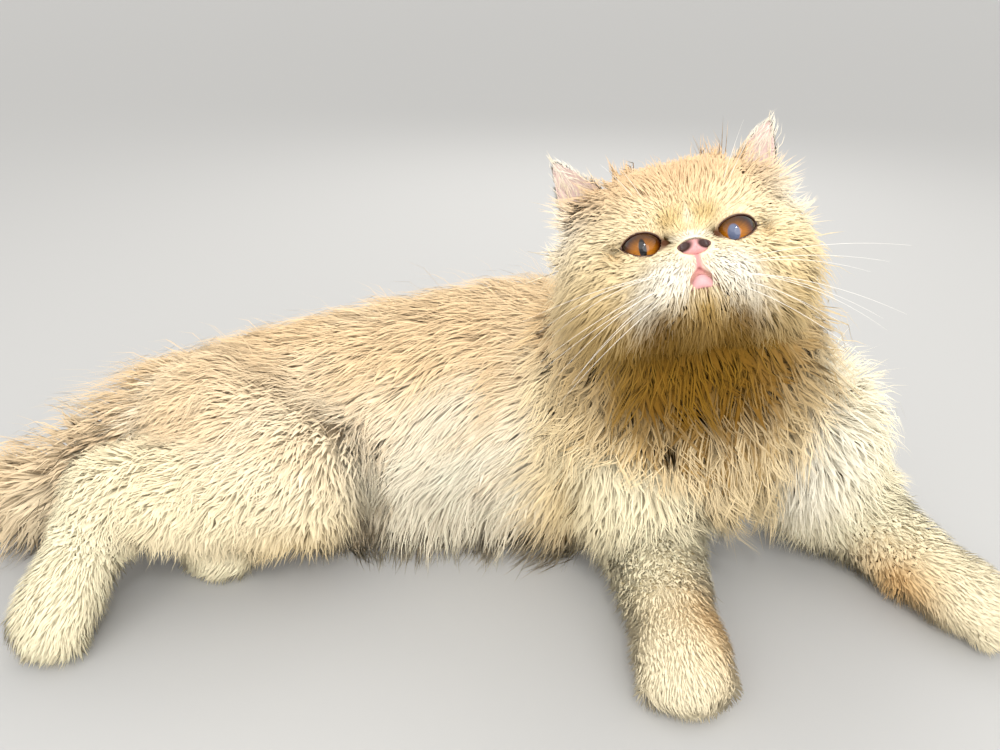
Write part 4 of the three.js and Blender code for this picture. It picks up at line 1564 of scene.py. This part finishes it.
def eye_material(name, side, settings):
    """A wet eye: slit pupil, painted bluish in the left eye as painted eyeshine, fibred amber iris that darkens
    outwards and is darker at its top as painted shadow of the upper lid, dark rim.
    """
    made, shader = material(name)
    shader.inputs["Roughness"].default_value = 0.05
    shader.inputs["IOR"].default_value = 1.38
    shader.inputs["Coat Weight"].default_value = 0.5
    shader.inputs["Coat Roughness"].default_value = 0.02
    uv = node(made, "ShaderNodeUVMap")
    uv.uv_map = "Iris"
    place = vector_node(made, "MULTIPLY_ADD", uv.outputs["UV"])
    place.inputs[1].default_value = (2, 2, 0)
    place.inputs[2].default_value = (-1, -1, 0)
    across = place.outputs["Vector"]
    far = vector_node(made, "LENGTH", across)
    iris, rim = np.array(settings.iris), np.array(settings.iris_rim)
    ramp = node(made, "ShaderNodeValToRGB")
    stops = ((0.10, iris * 0.75), (0.30, iris * 1.25), (0.52, iris), (0.70, mix(iris, rim, 0.7)), (0.80, rim),
             (0.86, rim * 0.12))
    while len(ramp.color_ramp.elements) < len(stops):
        ramp.color_ramp.elements.new(0.5)
    for element, (spot_at, colour) in zip(ramp.color_ramp.elements, stops):
        element.position = spot_at
        element.color = (*np.clip(colour, 0, 1), 1)
    link(made, far.outputs["Value"], ramp.inputs["Fac"])
    # fibres: noise over the direction from the pupil
    way = vector_node(made, "NORMALIZE", across)
    fibres = node(made, "ShaderNodeTexNoise", Scale=11.0, Detail=4.0, Roughness=0.7)
    link(made, way.outputs["Vector"], fibres.inputs["Vector"])
    split = node(made, "ShaderNodeSeparateXYZ")
    link(made, across, split.inputs["Vector"])
    both = node(made, "ShaderNodeMath")
    both.operation = "MULTIPLY"
    link(made, ranged(made, fibres.outputs["Fac"], (0.3, 0.7), (0.72, 1.25)), both.inputs[0])
    # painted shadow of the upper lid: the iris darkens towards its top
    link(made, ranged(made, split.outputs["Y"], (-0.05, 0.50), (1.0, 0.28)), both.inputs[1])
    scaled = vector_node(made, "SCALE", ramp.outputs["Color"])
    link(made, both.outputs["Value"], scaled.inputs["Scale"])
    wide, tall = (0.17, 0.50) if side < 0 else (0.27, 0.40)
    slit = vector_node(made, "MULTIPLY", across)
    slit.inputs[1].default_value = (1 / wide, 1 / tall, 0)
    inside = vector_node(made, "LENGTH", slit.outputs["Vector"])
    blend = node(made, "ShaderNodeMix")
    blend.data_type = "RGBA"
    # the left pupil is painted bluish: a painted reflection of eyeshine
    pupil = tint(10, 8, 8) if side < 0 else tint(84, 94, 122)
    blend.inputs[6].default_value = (*pupil, 1)
    link(made, ranged(made, inside.outputs["Value"], (0.86, 1.08)), blend.inputs[0])
    link(made, scaled.outputs["Vector"], blend.inputs[7])
    link(made, blend.outputs[2], shader.inputs["Base Color"])
    return made


def lid_rim(side, settings):
    """The dark moist edge of the lids: a tube round the opening, thicker and spurred at the inner corner."""
    line = lid_edge(side, 96)
    centre = EYE_PLACE * (side, 1, 1)
    inner = step(0.006, 0.0115, (centre[0] - line[:, 0]) * side)
    line = line + (line - centre) * 0.03 + np.outer(inner**2, np.array((-side * 0.0022, -0.0012, -0.0008)))
    line = np.vstack([line, line[:2]])
    half = 0.00042 + 0.0005 * inner
    grid = tube_grid(line, np.append(half, half[:2]), 8)[:-2]
    name = "lid_edge_left" if side > 0 else "lid_edge_right"
    piece = welded(new_object(name, from_head(grid.reshape(-1, 3)), [grid_faces(*grid.shape[:2], ring=True)]))
    made, shader = material(name)
    shader.inputs["Base Color"].default_value = (*(np.array(settings.lid) * 0.55), 1)
    shader.inputs["Roughness"].default_value = 0.3
    piece.data.materials.append(made)
    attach(piece, "root")
    return piece


def leather_colour(x, z, settings):
    """The colour of the nose leather by place across and up, in mm: pink, with a dark rim, and dark in the
    nostrils as painted shade.
    """
    pink, dark = np.array(settings.pink), np.array(tint(52, 22, 18))
    colour = np.repeat(pink[None], len(x), 0)
    rim = step(0.50, 0.95, np.sqrt((x / 8.0) ** 2 + (z / 4.1) ** 2))
    colour = mix(colour, np.array(tint(104, 56, 50)), 0.95 * rim * step(-3.0, 0.5, z))
    # painted shade: the nostrils are painted dark brown
    pit = nostril(x, z)
    return mix(colour, dark, np.clip(1.5 * pit, 0, 1))


def nostril(x, z):
    """1 in the nostrils and 0 outside them, by place across and up in mm: commas that curl outward and up."""
    a = np.abs(x)
    low = np.exp(-((((a - 4.5) / 3.0) ** 2 + ((z - 0.6 + 0.16 * (a - 4.5)) / 2.5) ** 2) ** 1.6))
    tail = np.exp(-((((a - 6.1) / 1.9) ** 2 + ((z + 0.9 + 0.25 * (a - 5.8)) / 1.1) ** 2) ** 1.6))
    return np.maximum(low, 0.9 * tail)


def nose_leather(settings):
    """The nose leather: a low rounded cushion with two nostrils sunk in it and a groove down its middle."""
    way = ball_grid(np.linspace(0, 1, 56) ** 0.85 * math.pi, 72)
    x, z = way[..., 0] * 8.0, way[..., 2] * 4.0 - 0.3
    wide = 1 + 0.20 * way[..., 2]
    front = np.clip(-way[..., 1], 0, 1)
    pit = nostril(x * wide, z)
    out = 4.6 * np.where(way[..., 1] < 0, front**0.8, way[..., 1] * -0.6)
    out = out - 3.2 * pit * (way[..., 1] < 0) - 0.5 * np.exp(-((x / 0.5) ** 2)) * front * step(1.5, -1.0, z)
    out += 0.7 * np.exp(-(((np.abs(x) - 3.9) / 1.5) ** 2 + ((z - 2.1) / 1.2) ** 2)) * front
    points = np.stack([x * wide, -47.0 - out, z - 8.0], -1) * 0.001
    flat = points.reshape(-1, 3)
    piece = new_object("nose_leather", from_head(flat), [grid_faces(*way.shape[:2])])
    paint(piece, "Coat", leather_colour(flat[:, 0] * 1000, flat[:, 2] * 1000 + 8.0, settings))
    welded(piece)
    made, shader = material("moist_leather")
    colour = node(made, "ShaderNodeAttribute")
    colour.attribute_name = "Coat"
    place = node(made, "ShaderNodeTexCoord")
    pebbles = node(made, "ShaderNodeTexVoronoi", Scale=1500.0)
    link(made, place.outputs["Object"], pebbles.inputs["Vector"])
    bump = node(made, "ShaderNodeBump", Strength=0.35, Distance=0.0002)
    link(made, pebbles.outputs["Distance"], bump.inputs["Height"])
    link(made, bump.outputs["Normal"], shader.inputs["Normal"])
    link(made, colour.outputs["Color"], shader.inputs["Base Color"])
    shader.inputs["Roughness"].default_value = 0.38
    piece.data.materials.append(made)
    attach(piece, "root")
    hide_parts("nose")
    return piece, made


def lower_lip(made, settings):
    """The bare moist lower lip: a small bolster bent down at both sides."""
    way = ball_grid(np.linspace(0, math.pi, 28), 40)
    x, z = way[..., 0] * 5.8 * (1 - 0.42 * way[..., 2]), way[..., 2] * 3.4
    base = skin_place(np.array([(0, -0.046, -0.0238)]))[0] * 1000
    points = np.stack([x, base[1] - 0.3 + way[..., 1] * 1.9 + 0.045 * x**2, base[2] + z - 0.05 * x**2], -1)
    flat = points.reshape(-1, 3) * 0.001
    piece = new_object("lower_lip", from_head(flat), [grid_faces(*way.shape[:2])])
    pink = np.array(settings.pink)
    # the lip's top, where it goes into the mouth, is painted dark as painted shade
    front, inside = (pink * (1.0, 1.05, 1.06))[None], (pink * (0.5, 0.3, 0.3))[None]
    paint(piece, "Coat", mix(front, inside, step(2.2, 3.3, z).ravel()))
    welded(piece)
    piece.data.materials.append(made)
    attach(piece, "root")
    return piece


def whisker_lines(longest, rng):
    """Whiskers and brow bristles as smooth falling lines: root + way * L s + down * fall * L s^2."""
    lines = []
    down = to_head(HEAD - UP)
    for side in (-1, 1):
        for row, z in enumerate((-17.0, -21.0, -25.0)):
            for k in range(3):
                toward = np.array([(side * (9.5 + 3.4 * k + 0.8 * row), -44, z - 0.5 * k)])
                root = skin_place(toward)[0]
                way = unit(np.array((side * (0.80 + 0.06 * k), -0.42 + 0.10 * k, -0.10 - 0.17 * row)))
                length = longest * (1 - 0.10 * k) * rng.uniform(0.62, 1.0)
                lines.append((root, unit(way + rng.normal(0, 0.07, 3)), length, 0.30 * rng.uniform(0.5, 1.3)))
        for k in range(2):
            root = skin_place(np.array([(side * (17 + 3.0 * k), -38, 19 + 0.8 * k)]))[0]
            way = unit(np.array((side * (0.35 + 0.12 * k), -0.65, 0.72)) + rng.normal(0, 0.08, 3))
            lines.append((root, way, longest * 0.42 * rng.uniform(0.7, 1.1), 0.12))
    s = np.linspace(0, 1, 12)[:, None]
    return [root + way * length * s + down * bend * length * s**2 for root, way, length, bend in lines]


def whiskers(settings, rng):
    """All whiskers as one piece of thin tapering tubes."""
    grids = [tube_grid(line, 0.00013 * (1 - np.linspace(0, 1, 12) ** 1.5 * 0.8), 5)
             for line in whisker_lines(settings.whisker_length, rng)]
    points, faces, offset = [], [], 0
    for grid in grids:
        rows, around = grid.shape[:2]
        ends = np.stack([grid[0].mean(0), grid[-1].mean(0)])
        closed = np.vstack([np.repeat(ends[:1], around, 0), grid.reshape(-1, 3), np.repeat(ends[1:], around, 0)])
        points.append(closed)
        faces.append(grid_faces(rows + 2, around, offset))
        offset += len(closed)
    places = from_head(np.vstack(points))
    places[:, 2] = np.maximum(places[:, 2], 0.001)
    piece = welded(new_object("whiskers", places, [np.vstack(faces)]))
    made, shader = material("whisker")
    shader.inputs["Base Color"].default_value = (0.90, 0.87, 0.80, 1)
    shader.inputs["Roughness"].default_value = 0.35
    piece.data.materials.append(made)
    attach(piece, "root")
    return piece


class CAT_OT_face(bpy.types.Operator):
    """Make the eyeballs, the edges of the lids, the nose leather, the lower lip and the whiskers"""

    bl_idname = "cat.face"
    bl_label = "Eyes, nose and whiskers"

    def execute(self, context):
        settings = context.scene.cat_face
        for side in (-1, 1):
            eyeball(side, CAMERA, settings)
            lid_rim(side, settings)
        piece, made = nose_leather(settings)
        lower_lip(made, settings)
        whiskers(settings, np.random.default_rng(5))
        return {"FINISHED"}


class CAT_OT_stage(bpy.types.Operator):
    """Make the floor, the soft lights and the camera"""

    bl_idname = "cat.stage"
    bl_label = "Stage"

    def execute(self, context):
        settings, scene = context.scene.cat_stage, context.scene
        floor_half = 60.0
        corners = floor_half * np.array([(-1, -1, 0), (1, -1, 0), (1, 1, 0), (-1, 1, 0)])
        ground = new_object("floor", corners, [np.array([[0, 1, 2, 3]])], smooth=False)
        made, shader = material("pale_floor")
        shader.inputs["Base Color"].default_value = (*settings.floor, 1)
        shader.inputs["Roughness"].default_value = 0.8
        ground.data.materials.append(made)
        middle = LIMBS["trunk"].line[30]
        eyes = from_head(EYE_PLACE * (0, 1, 1))
        # a small lamp beside and above the camera makes the eyes' highlights
        catch = eyes + 0.8 * unit(unit(CAMERA - eyes) + (0.24, 0, 0) + 0.58 * CAMERA_UP)
        for name, place, power, size, hue in (
            ("key", (-0.55, -1.15, 1.35), settings.key, 1.5, (1.0, 0.985, 0.96)),
            ("fill", (0.34, -1.20, 0.78), settings.fill, 1.1, (1.0, 0.99, 0.97)),
            ("rim", (0.3, 1.2, 1.1), settings.rim, 0.9, (1.0, 0.98, 0.95)),
            ("catch", tuple(catch), 1.5, 0.09, (1.0, 1.0, 1.0)),
        ):
            lamp = bpy.data.lights.new(name, "AREA")
            lamp.shape = "DISK"
            lamp.size = size
            lamp.energy = power
            lamp.color = hue
            holder = bpy.data.objects.new(name, lamp)
            holder.location = place
            way = np.array(place) - (eyes if name == "catch" else middle)
            holder.rotation_euler = (math.atan2(math.hypot(way[0], way[1]), way[2]), 0,
                                     math.atan2(way[1], way[0]) + math.pi / 2)
            scene.collection.objects.link(holder)
        world = bpy.data.worlds.new("room")
        world.use_nodes = True
        world.node_tree.nodes["Background"].inputs["Color"].default_value = (1.0, 0.985, 0.96, 1)
        world.node_tree.nodes["Background"].inputs["Strength"].default_value = settings.sky
        scene.world = world
        scene.view_settings.view_transform = "Standard"
        lens = bpy.data.cameras.new("camera")
        lens.sensor_width = SENSOR
        lens.lens = LENS
        lens.clip_start, lens.clip_end = 0.01, 50.0
        camera = bpy.data.objects.new("camera", lens)
        camera.location = CAMERA
        camera.rotation_euler = (math.radians(90 - CAMERA_TILT), 0, 0)
        scene.collection.objects.link(camera)
        scene.camera = camera
        return {"FINISHED"}


class CAT_PT_tools(bpy.types.Panel):
    """The cat's settings and the tools that make its pieces"""

    bl_idname = "CAT_PT_tools"
    bl_label = "Cat"
    bl_space_type = "VIEW_3D"
    bl_region_type = "UI"
    bl_category = "Cat"

    def draw(self, context):
        for name, group in GROUPS.items():
            box = self.layout.box()
            for setting in group.__annotations__:
                box.prop(getattr(context.scene, name), setting)
            box.operator(name.replace("_", "."))


def main():
    """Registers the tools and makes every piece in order."""
    register()
    for make in (bpy.ops.cat.skin, bpy.ops.cat.coat, bpy.ops.cat.face, bpy.ops.cat.stage):
        make()


CLASSES = (SkinSettings, CoatSettings, FaceSettings, StageSettings, CAT_OT_skin, CAT_OT_coat, CAT_OT_face,
           CAT_OT_stage, CAT_PT_tools)
GROUPS = {
    "cat_skin": SkinSettings,
    "cat_coat": CoatSettings,
    "cat_face": FaceSettings,
    "cat_stage": StageSettings,
}


def register():
    """Adds the settings and the tools."""
    for item in CLASSES:
        bpy.utils.register_class(item)
    for name, group in GROUPS.items():
        setattr(bpy.types.Scene, name, PointerProperty(type=group))


def unregister():
    """Takes the settings and the tools away."""
    for name in GROUPS:
        delattr(bpy.types.Scene, name)
    for item in reversed(CLASSES):
        bpy.utils.unregister_class(item)


if __name__ == "__main__":
    main()
